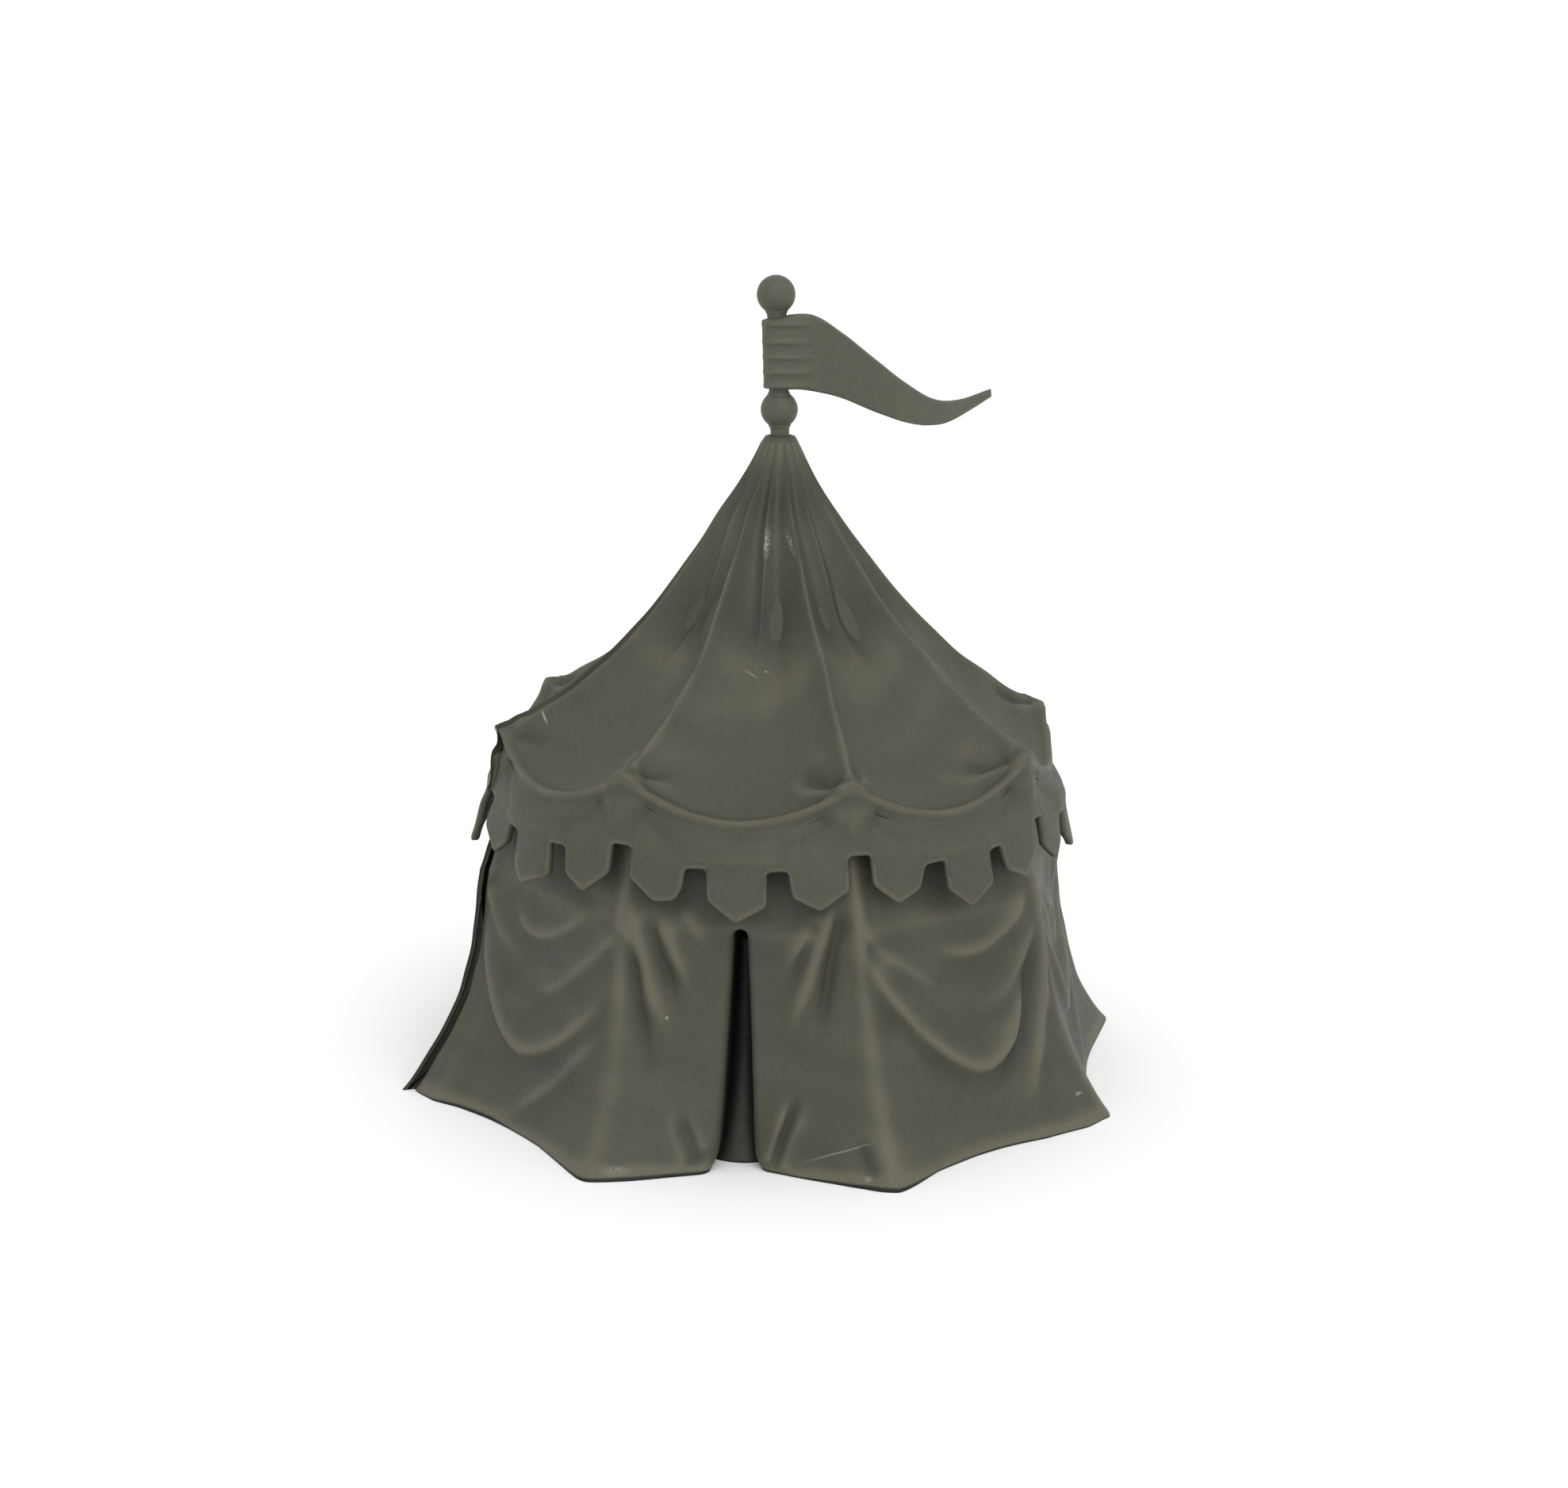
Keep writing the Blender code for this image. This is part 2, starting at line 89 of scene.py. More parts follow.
def place(azimuth, radius, height):
    # (r sin a, -r cos a, z), stacked on a last axis
    return np.stack(np.broadcast_arrays(radius * np.sin(azimuth), -radius * np.cos(azimuth), height), axis=-1)


def throughPoints(points, count=24):
    # cubic Catmull-Rom curve through the points, count samples on each stretch's share of the whole
    p = np.asarray(points, float)
    p = np.vstack([2 * p[0] - p[1], p, 2 * p[-1] - p[-2]])
    t = np.linspace(0, len(p) - 3 - 1e-9, count)
    i = t.astype(int)
    f = (t - i)[:, None]
    a, b, c, d = p[i], p[i + 1], p[i + 2], p[i + 3]
    return 0.5 * (2 * b + (c - a) * f + (2 * a - 5 * b + 4 * c - d) * f ** 2 + (3 * b - a - 3 * c + d) * f ** 3)


def foldLine(x, y, points, height, left=1.6, right=1.6, start=0.25, end=0.25, crisp=0.3):
    # a fold along a curve: height * exp(c - sqrt((d / w)^2 + c^2)), where d is the distance from the curve and w is
    # left or right of it, times a fade over the first and last share of its length
    curve = throughPoints(points)
    reach = 4.5 * max(left, right)
    near = (
        (x > curve[:, 0].min() - reach) & (x < curve[:, 0].max() + reach)
        & (y > curve[:, 1].min() - reach) & (y < curve[:, 1].max() + reach)
    )
    out = np.zeros(x.shape)
    if not near.any():
        return out
    p = np.stack([x[near], y[near]], axis=-1)[:, None]
    a, step = curve[:-1], np.diff(curve, axis=0)
    along = np.clip(((p - a) * step).sum(-1) / (step ** 2).sum(-1), 0, 1)
    away = p - (a + along[..., None] * step)
    distance = np.hypot(away[..., 0], away[..., 1])
    nearest = distance.argmin(1)
    row = np.arange(len(nearest))
    distance, away, step = distance[row, nearest], away[row, nearest], step[nearest]
    share = (nearest + along[row, nearest]) / (len(curve) - 1)
    isLeft = step[:, 0] * away[:, 1] - step[:, 1] * away[:, 0] > 0
    width = np.where(isLeft, left, right)
    fade = smoothStep(0, max(start, 1e-3), share + (start <= 0)) * smoothStep(0, max(end, 1e-3), 1 - share + (end <= 0))
    out[near] = height * fade * np.exp(crisp - np.sqrt((distance / width) ** 2 + crisp ** 2))
    return out


def foldField(x, y, lines):
    # the sum of its folds
    total = np.zeros(x.shape)
    for line in lines:
        total += foldLine(x, y, **line)
    return total


def blur(field, times):
    # repeated average of each point with its four neighbours on the grid
    for _ in range(times):
        f = np.pad(field, 1, mode="edge")
        field = (f[:-2, 1:-1] + f[2:, 1:-1] + f[1:-1, :-2] + f[1:-1, 2:] + 4 * f[1:-1, 1:-1]) / 8
    return field


def relief(field, far=70, full=0.4):
    # how far each point stands out of its surroundings: a slight blur less a wide one, as a share of full
    return np.clip((blur(field, 2) - blur(field, far)) / full, -1, 1)


def slowNoise(seed, azimuth, height, wavelength, size):
    # a sum of eight random sine waves over azimuth and height
    rng = np.random.default_rng(seed)
    total = np.zeros(np.broadcast(azimuth, height).shape)
    for _ in range(8):
        around = rng.integers(1, max(2, int(280 / wavelength)))
        total = total + np.sin(around * azimuth + height * rng.normal(0, 2 * math.pi / wavelength) + rng.uniform(0, 6.28))
    return size * total / 2.8


def proud(azimuth, radius):
    # exp(-distance / reach) from the left seam, on the back moulding, which stands out beside the front one there
    distance = (seam["left"] + 2 * math.pi - azimuth) * radius
    return np.exp(-np.clip(distance, 0, None) / proudEdge["reach"]) * (azimuth > seam["right"])


def nearRightSeam(azimuth, radius):
    # a bell, exp(-(distance / reach)^2), across the right seam, where both mouldings stand out
    return np.exp(-(np.abs(seam["right"] - azimuth) * radius / proudEdge["reach"]) ** 2)


def makePiece(name, points, faces, material, replaced, wearAndPaintedLight=None, smooth=True):
    # a mesh from points in millimetres and lists of faces, turned outward by its enclosed volume, on the body "root"
    flat = points.reshape(-1, 3)
    used, renumbered = np.unique(np.concatenate([f.ravel() for f in faces]), return_inverse=True)
    cuts = np.cumsum([f.size for f in faces])[:-1]
    faces = [part.reshape(f.shape) for part, f in zip(np.split(renumbered, cuts), faces)]
    wearAndPaintedLight = np.zeros(len(flat)) if wearAndPaintedLight is None else wearAndPaintedLight.ravel()
    flat, wearAndPaintedLight = flat[used], wearAndPaintedLight[used]
    mesh = bpy.data.meshes.new(name)
    loops = np.concatenate([f.ravel() for f in faces]).astype(np.int32)
    sizes = np.concatenate([np.full(len(f), f.shape[1]) for f in faces]).astype(np.int32)
    fan = np.concatenate([np.stack([f[:, 0], f[:, i], f[:, i + 1]], 1) for f in faces for i in range(1, f.shape[1] - 1)])
    volume = np.einsum("ij,ij->i", flat[fan[:, 0]], np.cross(flat[fan[:, 1]], flat[fan[:, 2]])).sum()
    if volume < 0:
        loops = np.concatenate([f[:, ::-1].ravel() for f in faces]).astype(np.int32)
    mesh.vertices.add(len(flat))
    mesh.vertices.foreach_set("co", (flat * mm).ravel().astype(np.float32))
    mesh.loops.add(len(loops))
    mesh.loops.foreach_set("vertex_index", loops)
    mesh.polygons.add(len(sizes))
    mesh.polygons.foreach_set("loop_start", np.concatenate([[0], np.cumsum(sizes)[:-1]]).astype(np.int32))
    mesh.update(calc_edges=True)
    mesh.validate()
    if smooth:
        mesh.shade_smooth()
    # the relief attribute per point: rubbed wear, painted highlight and painted shade for the material
    amount = mesh.attributes.new("relief", "FLOAT", "POINT")
    amount.data.foreach_set("value", wearAndPaintedLight.astype(np.float32))
    mesh.materials.append(material)
    piece = bpy.data.objects.new(name, mesh)
    bpy.context.scene.collection.objects.link(piece)
    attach(piece, "root")
    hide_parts(*replaced)
    print("made", name, len(sizes), "faces")
    return piece


def gridFaces(rows, columns, first=0, wrapRows=False, wrapColumns=False):
    # quads between neighbouring rows and columns of a grid of point numbers
    number = first + np.arange(rows * columns).reshape(rows, columns)
    below = np.roll(number, -1, 0) if wrapRows else number[1:]
    here = number if wrapRows else number[:-1]
    if wrapColumns:
        return np.stack([here, np.roll(here, -1, 1), np.roll(below, -1, 1), below], -1).reshape(-1, 4)
    return np.stack([here[:, :-1], here[:, 1:], below[:, 1:], below[:, :-1]], -1).reshape(-1, 4)


def shellFaces(rows, columns):
    # faces of a section loop carried along its columns, closed at both ends by one flat face
    ends = np.arange(rows) * columns
    return [gridFaces(rows, columns, wrapRows=True), ends[None], (ends + columns - 1)[None]]


def capFaces(outside, inside, step=1):
    # closes a section's end between two lines of points, where inside has one point for each step of outside
    faces = []
    for i in range(len(inside) - 1):
        faces.append(np.concatenate([outside[i * step: (i + 1) * step + 1], [inside[i + 1], inside[i]]])[None])
    return faces


def setInput(node, name, value):
    node.inputs[name].default_value = value


def mouldedPlastic(name, base, warm, cool, roughness, marks=()):
    # unpainted matt plastic: two colours mixed by soft patches and a fine grain; the relief attribute paints it paler
    # on ridges (rubbed wear and painted highlight), darker in hollows (painted shade) and black in gaps and recesses
    # (painted shadow)
    material = bpy.data.materials.new(name)
    material.use_nodes = True
    nodes, links = material.node_tree.nodes, material.node_tree.links
    shader = nodes["Principled BSDF"]
    where = nodes.new("ShaderNodeTexCoord")

    def noise(scale, detail, rough=0.6):
        made = nodes.new("ShaderNodeTexNoise")
        setInput(made, "Scale", scale)
        setInput(made, "Detail", detail)
        setInput(made, "Roughness", rough)
        links.new(where.outputs["Object"], made.inputs["Vector"])
        return made.outputs["Fac"]

    def spread(value, low, high, toLow=0.0, toHigh=1.0):
        made = nodes.new("ShaderNodeMapRange")
        for key, number in (("From Min", low), ("From Max", high), ("To Min", toLow), ("To Max", toHigh)):
            setInput(made, key, number)
        links.new(value, made.inputs["Value"])
        return made.outputs["Result"]

    def mix(factor, first, second, blend="MIX"):
        made = nodes.new("ShaderNodeMix")
        made.data_type, made.blend_type = "RGBA", blend
        for socket, value in ((made.inputs[0], factor), (made.inputs[6], first), (made.inputs[7], second)):
            if isinstance(value, bpy.types.NodeSocket):
                links.new(value, socket)
            else:
                socket.default_value = value if isinstance(value, float) else (*value, 1.0)
        return made.outputs[2]

    patches = spread(noise(420, 4), 0.35, 0.65)
    grain = noise(3600, 3, 0.7)
    colour = mix(patches, warm, cool)
    colour = mix(spread(grain, 0.32, 0.68, 0.0, 0.55), colour, base)
    colour = mix(1.0, colour, spread(grain, 0.3, 0.7, 0.82, 1.18), "MULTIPLY")
    # the relief attribute carries rubbed wear, painted highlight and painted shade
    paintedLightAndWear = nodes.new("ShaderNodeAttribute")
    paintedLightAndWear.attribute_name = "relief"
    # colours for the painted highlight with rubbed wear, and for the painted shade
    paleWearAndHighlight = tuple(c * 1.75 + 0.004 for c in warm)
    paintedShadeColour = tuple(c * 0.5 for c in cool)
    # paler on ridges and rims: rubbed wear and painted highlight
    colour = mix(spread(paintedLightAndWear.outputs["Fac"], 0.05, 1.0, 0.0, 0.8), colour, paleWearAndHighlight)
    # darker in creases and hollows: painted shade
    colour = mix(spread(paintedLightAndWear.outputs["Fac"], -0.05, -1.0, 0.0, 0.75), colour, paintedShadeColour)
    # black from -1 to -2: painted shadow in gaps, under the hem and inside the doorway
    colour = mix(spread(paintedLightAndWear.outputs["Fac"], -1.0, -2.0), colour, (0.003, 0.003, 0.003))
    for centre, size, turn, strength, speckle in marks:
        # a scuff: one inside an ellipsoid, broken up by noise where it has a speckle scale
        local = nodes.new("ShaderNodeMapping")
        local.vector_type = "TEXTURE"
        setInput(local, "Location", [c * mm for c in centre])
        setInput(local, "Rotation", [math.radians(t) for t in turn])
        setInput(local, "Scale", [c * mm for c in size])
        links.new(where.outputs["Object"], local.inputs["Vector"])
        length = nodes.new("ShaderNodeVectorMath")
        length.operation = "LENGTH"
        links.new(local.outputs["Vector"], length.inputs[0])
        inside = spread(length.outputs["Value"], 1.0, 0.35, 0.0, strength)
        if speckle:
            broken = nodes.new("ShaderNodeMath")
            broken.operation = "MULTIPLY"
            links.new(inside, broken.inputs[0])
            links.new(spread(noise(speckle, 3, 0.7), 0.42, 0.6), broken.inputs[1])
            inside = broken.outputs["Value"]
        colour = mix(inside, colour, (0.30, 0.30, 0.27))
    links.new(colour, shader.inputs["Base Color"])
    links.new(spread(noise(900, 3), 0.3, 0.7, roughness - 0.06, roughness + 0.08), shader.inputs["Roughness"])
    bump = nodes.new("ShaderNodeBump")
    setInput(bump, "Strength", 0.35)
    setInput(bump, "Distance", 0.00006)
    links.new(grain, bump.inputs["Height"])
    links.new(bump.outputs["Normal"], shader.inputs["Normal"])
    setInput(shader, "Specular IOR Level", 0.35)
    return material


# Scuffs, scratches and specks: centre and half sizes in millimetres, turn in degrees, strength and speckle scale
marks = [
    ((-0.45, -9.4, 82.0), (0.6, 1.6, 2.9), (-29, 0, 0), 1.0, 2600),
    ((3.1, -9.6, 82.1), (0.55, 1.6, 3.0), (-29, -29, 0), 0.5, 2600),
    ((-14.2, -52.0, 1.1), (2.6, 1.8, 0.9), (0, 0, 20), 0.6, 5200),
    ((20.6, -49.4, 1.2), (0.7, 1.5, 0.5), (0, 0, 0), 0.5, 5200),
    ((-32.6, -14.7, 55.7), (1.9, 0.22, 1.2), (0, 11, -51), 0.6, 0),
    ((16.5, -47.2, 4.0), (6.2, 2.0, 0.16), (0, -20, 0), 0.35, 0),
    ((-1.0, -20.8, 65.0), (1.6, 1.5, 0.2), (0, 25, 0), 0.3, 0),
    ((1.2, -20.5, 65.3), (0.3, 1.2, 0.3), (0, 0, 0), 0.8, 0),
    ((-8.7, -42.8, 20.6), (0.3, 1.5, 0.3), (0, 0, 0), 0.8, 0),
    ((37.3, -20.3, 28.5), (0.9, 0.9, 0.3), (0, 0, 0), 0.5, 0),
    ((48.0, -19.5, 4.1), (1.0, 1.0, 0.3), (0, 0, 0), 0.5, 0),
]
cloth = mouldedPlastic(
    "matt_olive_grey", (0.052, 0.0515, 0.0345), (0.056, 0.0525, 0.0350), (0.047, 0.0495, 0.0335), 0.58, marks)
# the same plastic painted lighter for the pole, balls and pennant: painted light for their open, less shaded place on
# top
poleLighterPlastic = mouldedPlastic("matt_olive_grey_pole_painted_lighter", (0.070, 0.0695, 0.0485), (0.074, 0.0705, 0.049), (0.065, 0.067, 0.048), 0.56)
print("materials ready")


# Eaves, roof and valance: one sheet for each half moulding

def eaves(across):
    # bowed octagon with scalloped sides: r = chord + bulge * hang, z = height - drop * hang^1.15
    radius = chord(eavesValues["radius"], across) + eavesValues["bulge"] * hang(across)
    return radius, eavesValues["height"] - eavesValues["drop"] * np.clip(hang(across), 0, 1) ** 1.15


# Creases that leave each eaves knot on the roof: millimetres round from the knot and up the roof
knotCreases = {
    7: [
        dict(points=[(-1.2, 0.8), (-2.0, 3), (-2.9, 6), (-4.4, 12)], height=0.6, left=0.9, right=0.6, start=0.0, end=0.6),
        dict(points=[(-0.8, 1.6), (-1.0, 4), (-1.3, 8), (-1.8, 12)], height=-0.75, left=0.8, right=0.7, start=0.15, end=0.6),
        dict(points=[(1.4, 0.9), (3.2, 2.3), (5.4, 3.8), (8.4, 5.6)], height=0.6, left=0.9, right=1.4, start=0.0, end=0.7),
        dict(points=[(1.2, 2.2), (3.0, 4.0), (5.2, 6.6)], height=-0.7, left=1.3, right=0.9, start=0.15, end=0.7),
        dict(points=[(2.6, 1.0), (6, 1.7), (9, 2.8)], height=-0.4, left=0.8, right=0.8, start=0.2, end=0.6),
    ],
    0: [
        dict(points=[(-1.2, 0.6), (-3.6, 2.2), (-6.4, 5.2), (-7.4, 11)], height=0.8, left=0.8, right=0.9, start=0.0, end=0.6),
        dict(points=[(-0.9, 1.7), (-2.9, 4), (-4.5, 7.5), (-4.9, 12)], height=-0.9, left=1.1, right=1.3, start=0.15, end=0.6),
        dict(points=[(-3.2, 0.9), (-6, 2), (-8.8, 4.5)], height=-0.5, left=0.8, right=0.9, start=0.2, end=0.6),
        dict(points=[(1.3, 0.8), (2.3, 2.6), (2.9, 5.0), (3.2, 8.0)], height=0.5, left=0.7, right=0.9, start=0.0, end=0.6),
        dict(points=[(0.9, 2.0), (1.4, 4.5), (1.6, 7.5)], height=-0.5, left=0.7, right=0.6, start=0.15, end=0.6),
    ],
    1: [
        dict(points=[(-1.3, 0.6), (-5.0, 2.2), (-9.4, 4.6), (-12, 9)], height=0.75, left=0.9, right=1.0, start=0.0, end=0.6),
        dict(points=[(-1.4, 1.9), (-5.2, 4.4), (-8.6, 8)], height=-0.8, left=1.2, right=1.2, start=0.15, end=0.6),
        dict(points=[(-3.4, 0.9), (-7, 1.6), (-11, 3.2)], height=-0.4, left=0.8, right=0.8, start=0.2, end=0.6),
        dict(points=[(1.4, 0.8), (3.8, 1.6), (6.5, 3.0)], height=0.5, left=0.8, right=0.9, start=0.0, end=0.6),
        dict(points=[(1.2, 2.2), (3.5, 4.2), (6, 7)], height=-0.6, left=1.0, right=1.0, start=0.15, end=0.6),
    ],
}
for corner, source in ((2, 7), (3, 0), (4, 7), (5, 0), (6, 1)):
    knotCreases[corner] = knotCreases[source]

# Folds that leave each knot on the valance: millimetres round from the knot and up from its height
valanceFolds = [
    dict(points=[(-1.9, -3.0), (-3.9, -4.7), (-6.8, -6.4), (-10.2, -7.5), (-14, -7.6)], height=-1.0, left=1.5, right=1.9, start=0.25, end=0.65),
    dict(points=[(1.9, -3.0), (3.9, -4.7), (6.8, -6.4), (10.2, -7.5), (14, -7.6)], height=-1.0, left=1.9, right=1.5, start=0.25, end=0.65),
    dict(points=[(0, -1.8), (0.1, -4.5), (0.2, -8)], height=0.35, left=1.5, right=1.5, start=0.3, end=0.6),
    dict(points=[(8.5, -9.2), (12.5, -9.6), (17, -9.6)], height=0.3, left=1.0, right=1.2, start=0.4, end=0.0),
    dict(points=[(-8.5, -9.2), (-12.5, -9.6), (-17, -9.6)], height=0.3, left=1.2, right=1.0, start=0.4, end=0.0),
]

pleatCentres = [-0.1, 0.0, 0.06, -0.05, 0.08, -0.04, 0.05, 0.02]
pleatFades = [0.46, 0.5, 0.42, 0.55, 0.48, 0.44, 0.52, 0.56]


def knotChart(azimuth, radius):
    # nearest corner, and the way round from it in millimetres
    corner = np.floor(azimuth / sideAngle)
    return corner.astype(int) % 8, radius * (azimuth - (corner + 0.5) * sideAngle)


def nearKnot(azimuth, radius, height, tables):
    # the folds of the knot nearest to each point; every knot's chart reaches half a side each way
    total = np.zeros(azimuth.shape)
    corner, around = knotChart(azimuth, radius)
    for k in range(8):
        mask = corner == k
        if mask.any():
            total[mask] = foldField(around[mask], height[mask], tables[k])
    return total


def roofSheet(azimuth, down):
    # radius, height, fold height and distance up from the eaves, on a grid of azimuth and share down from the crown:
    # r = crown + (eaves - crown) * d, z = a cubic in 1 - d with set slopes at both ends
    v = roofValues
    side, across = sideOf(azimuth)
    edgeRadius, edgeHeight = eaves(across)
    rise = 1 - down
    share = (
        (rise ** 3 - 2 * rise ** 2 + rise) * v["eavesSlope"] + (3 * rise ** 2 - 2 * rise ** 3)
        + (rise ** 3 - rise ** 2) * v["crownSlope"]
    )
    radius = v["crownRadius"] + (edgeRadius - v["crownRadius"]) * down
    height = edgeHeight + (v["crownHeight"] - edgeHeight) * share
    steps = np.hypot(np.diff(radius, axis=0), np.diff(height, axis=0))
    up = np.zeros(radius.shape)
    up[:-1] = np.cumsum(steps[::-1], axis=0)[::-1]
    # pleats: valleys |sin(pi * across)| deep between sixteen ridges, fading towards the eaves
    centre = np.take(pleatCentres, side)
    moved = across - centre * hang(across)
    fade = np.take(pleatFades, side)
    depth = v["pleatDepth"] * smoothStep(0.0, 0.14, down) * (1 - smoothStep(fade - 0.28, fade + 0.1, down))
    fold = -depth * np.abs(np.sin(math.pi * moved)) ** 0.85
    fold -= 0.35 * smoothStep(0.15, 0.35, down) * (1 - smoothStep(0.5, 0.78, down)) * np.exp(-((moved - 0.42) / 0.17) ** 2)
    fromCorner = (1 - np.abs(across)) * radius * math.tan(halfSide)
    fold += v["ridgeHeight"] * smoothStep(0.1, 0.3, down) * (1 - 0.7 * smoothStep(0.93, 1, down)) * np.exp(0.25 - np.sqrt((fromCorner / v["ridgeWidth"]) ** 2 + 0.0625))
    fold -= v["sag"] * hang(across) * smoothStep(0.35, 0.8, down) * (1 - smoothStep(0.9, 1.0, down))
    fold -= v["waistSag"] * hang(across) * np.exp(-((down - 0.35) / 0.09) ** 2)
    fold += 0.4 * np.exp(-((down - 0.15) / 0.06) ** 2)
    fold += proudEdge["roof"] * proud(azimuth, radius) * smoothStep(0.05, 0.6, down)
    fold += 0.5 * nearRightSeam(azimuth, radius) * smoothStep(0.85, 1, down)
    fold += slowNoise(3, azimuth, up, 22, 0.12) * smoothStep(0.2, 0.6, down) * (1 - smoothStep(0.93, 1, down))
    fold += nearKnot(azimuth, radius, up, knotCreases)
    return radius, height, fold, up


def drift(down):
    # how far the cone bends to the right, by share down from the crown
    ways = np.interp(down, [0, 0.15, 0.23, 0.31, 0.4, 0.52, 0.64, 0.77, 1], [0, -0.4, -0.05, 0.05, 0.3, 0.9, 0.8, 0.75, 0])
    return blur(ways, 8)


def bead(azimuth, radius, distance):
    # a round welt on the eaves line, lower at the knots, and a shallow groove beside it
    v = roofValues
    _, around = knotChart(azimuth, radius)
    welt = v["beadHeight"] * np.exp(-(distance / v["beadWidth"]) ** 2) * (1 - 0.5 * np.exp(-(around / 2) ** 2))
    return welt - 0.15 * np.exp(-((distance - 1.7) / 0.9) ** 2)


def knot(azimuth, radius, distance):
    # a rounded boss at each corner but the two on the seams
    corner, around = knotChart(azimuth, radius)
    v = roofValues
    atSeam = (corner == 2) | (corner == 6)
    return v["knotHeight"] * np.where(atSeam, 0.0, 1) * np.exp(-(around ** 2 + distance ** 2) / v["knotWidth"] ** 2)


def tabOutline(seed, tabs=None):
    # one side's lower edge as (mm round from its middle, height) corners, with a little unevenness
    rng = np.random.default_rng(seed)
    points = np.array([
        (-17.48, 44.4), (-14.85, 44.4), (-14.65, 40.1), (-10.9, 37.25), (-7.45, 39.3), (-6.35, 42.4), (-3.25, 42.4),
        (-3.0, 38.3), (1.15, 35.5), (5.45, 37.9), (5.1, 42.4), (8.2, 42.6), (8.95, 38.9), (12.8, 37.1), (16.6, 40.1),
        (16.75, 44.2), (17.48, 44.4),
    ])
    points[2:-2] += rng.normal(0, 0.1, (len(points) - 4, 2))
    if tabs == "broken":  # the front's left tab has lost its point
        points[3:5] = [(-10.7, 37.35), (-6.75, 39.5)]
        points = np.insert(points, 4, (-7.75, 37.85), axis=0)
    if tabs == "long":  # the left side's last tab hangs lower
        points[12:15] += [(0, -1.1), (0, -1.9), (0, -1.5)]
    return points


def roundedLine(points, radius, spacing):
    # the corner points with each corner cut by a quadratic curve, sampled evenly along its length
    out = [points[0]]
    for before, here, after in zip(points[:-2], points[1:-1], points[2:]):
        toBefore, toAfter = before - here, after - here
        cut = min(radius, 0.45 * np.linalg.norm(toBefore), 0.45 * np.linalg.norm(toAfter))
        a = here + toBefore / np.linalg.norm(toBefore) * cut
        b = here + toAfter / np.linalg.norm(toAfter) * cut
        t = np.linspace(0, 1, 5)[:, None]
        out += list(a * (1 - t) ** 2 + 2 * here * t * (1 - t) + b * t ** 2)
    out.append(points[-1])
    out = np.array(out)
    length = np.concatenate([[0], np.cumsum(np.linalg.norm(np.diff(out, axis=0), axis=1))])
    even = np.linspace(0, length[-1], max(8, int(length[-1] / spacing)))
    return np.stack([np.interp(even, length, out[:, 0]), np.interp(even, length, out[:, 1])], 1)


# How far each tab leans outward at its tip, in millimetres, left to right on each side
tabLeans = {0: (0.1, 0.25, 0.0), 1: (0.2, 0.0, 0.5), 7: (0.0, 0.8, 0.2), 2: (0.3, 0.1, 0.0),
            3: (0.0, 0.2, 0.1), 4: (0.25, 0.0, 0.3), 5: (0.0, 0.3, 0.1), 6: (0.1, 0.0, 0.5)}


def valanceSheet(azimuth, height):
    # radius on a cone, ring + flare * drop, that the eaves line turns out to; with its fold height and the distance
    # below the eaves
    v = valanceValues
    side, across = sideOf(azimuth)
    edgeRadius, edgeHeight = eaves(across)
    below = edgeHeight - height
    ring = v["radius"] + v["flare"] * (v["radiusHeight"] - height)
    short = v["radius"] + v["flare"] * (v["radiusHeight"] - edgeHeight) - edgeRadius
    radius = ring - short * (1 - smoothStep(0, v["turnOut"], below))
    fold = nearKnot(azimuth, radius, height - eavesValues["height"], {k: valanceFolds for k in range(8)})
    lean = np.zeros(azimuth.shape)
    for k, leans in tabLeans.items():
        for offset, amount in zip((-10.9, 1.2, 12.8), leans):
            here = (side == k) * np.exp(-((across * 17.48 - offset) / 3.4) ** 4)
            lean += here * amount * np.clip((42.5 - height) / 6, 0, 1) ** 1.5
    fold += lean + slowNoise(5, azimuth, height, 14, 0.1) * smoothStep(1, 4, below)
    fold += (proudEdge["valance"] + proudEdge["tabs"] * (1 - smoothStep(42, 46, height))) * proud(azimuth, radius)
    fold += (0.5 + 0.5 * smoothStep(0, 4, below)) * smoothStep(43, 47, height) * nearRightSeam(azimuth, radius)
    frontCorner = np.exp(-((azimuth - seam["left"]) * radius / 5) ** 2)
    fold += frontCorner * (0.8 * (1 - smoothStep(40, 46, height)) - 0.7 * smoothStep(0, 3, below) * smoothStep(45, 49, height))
    return radius, fold, below


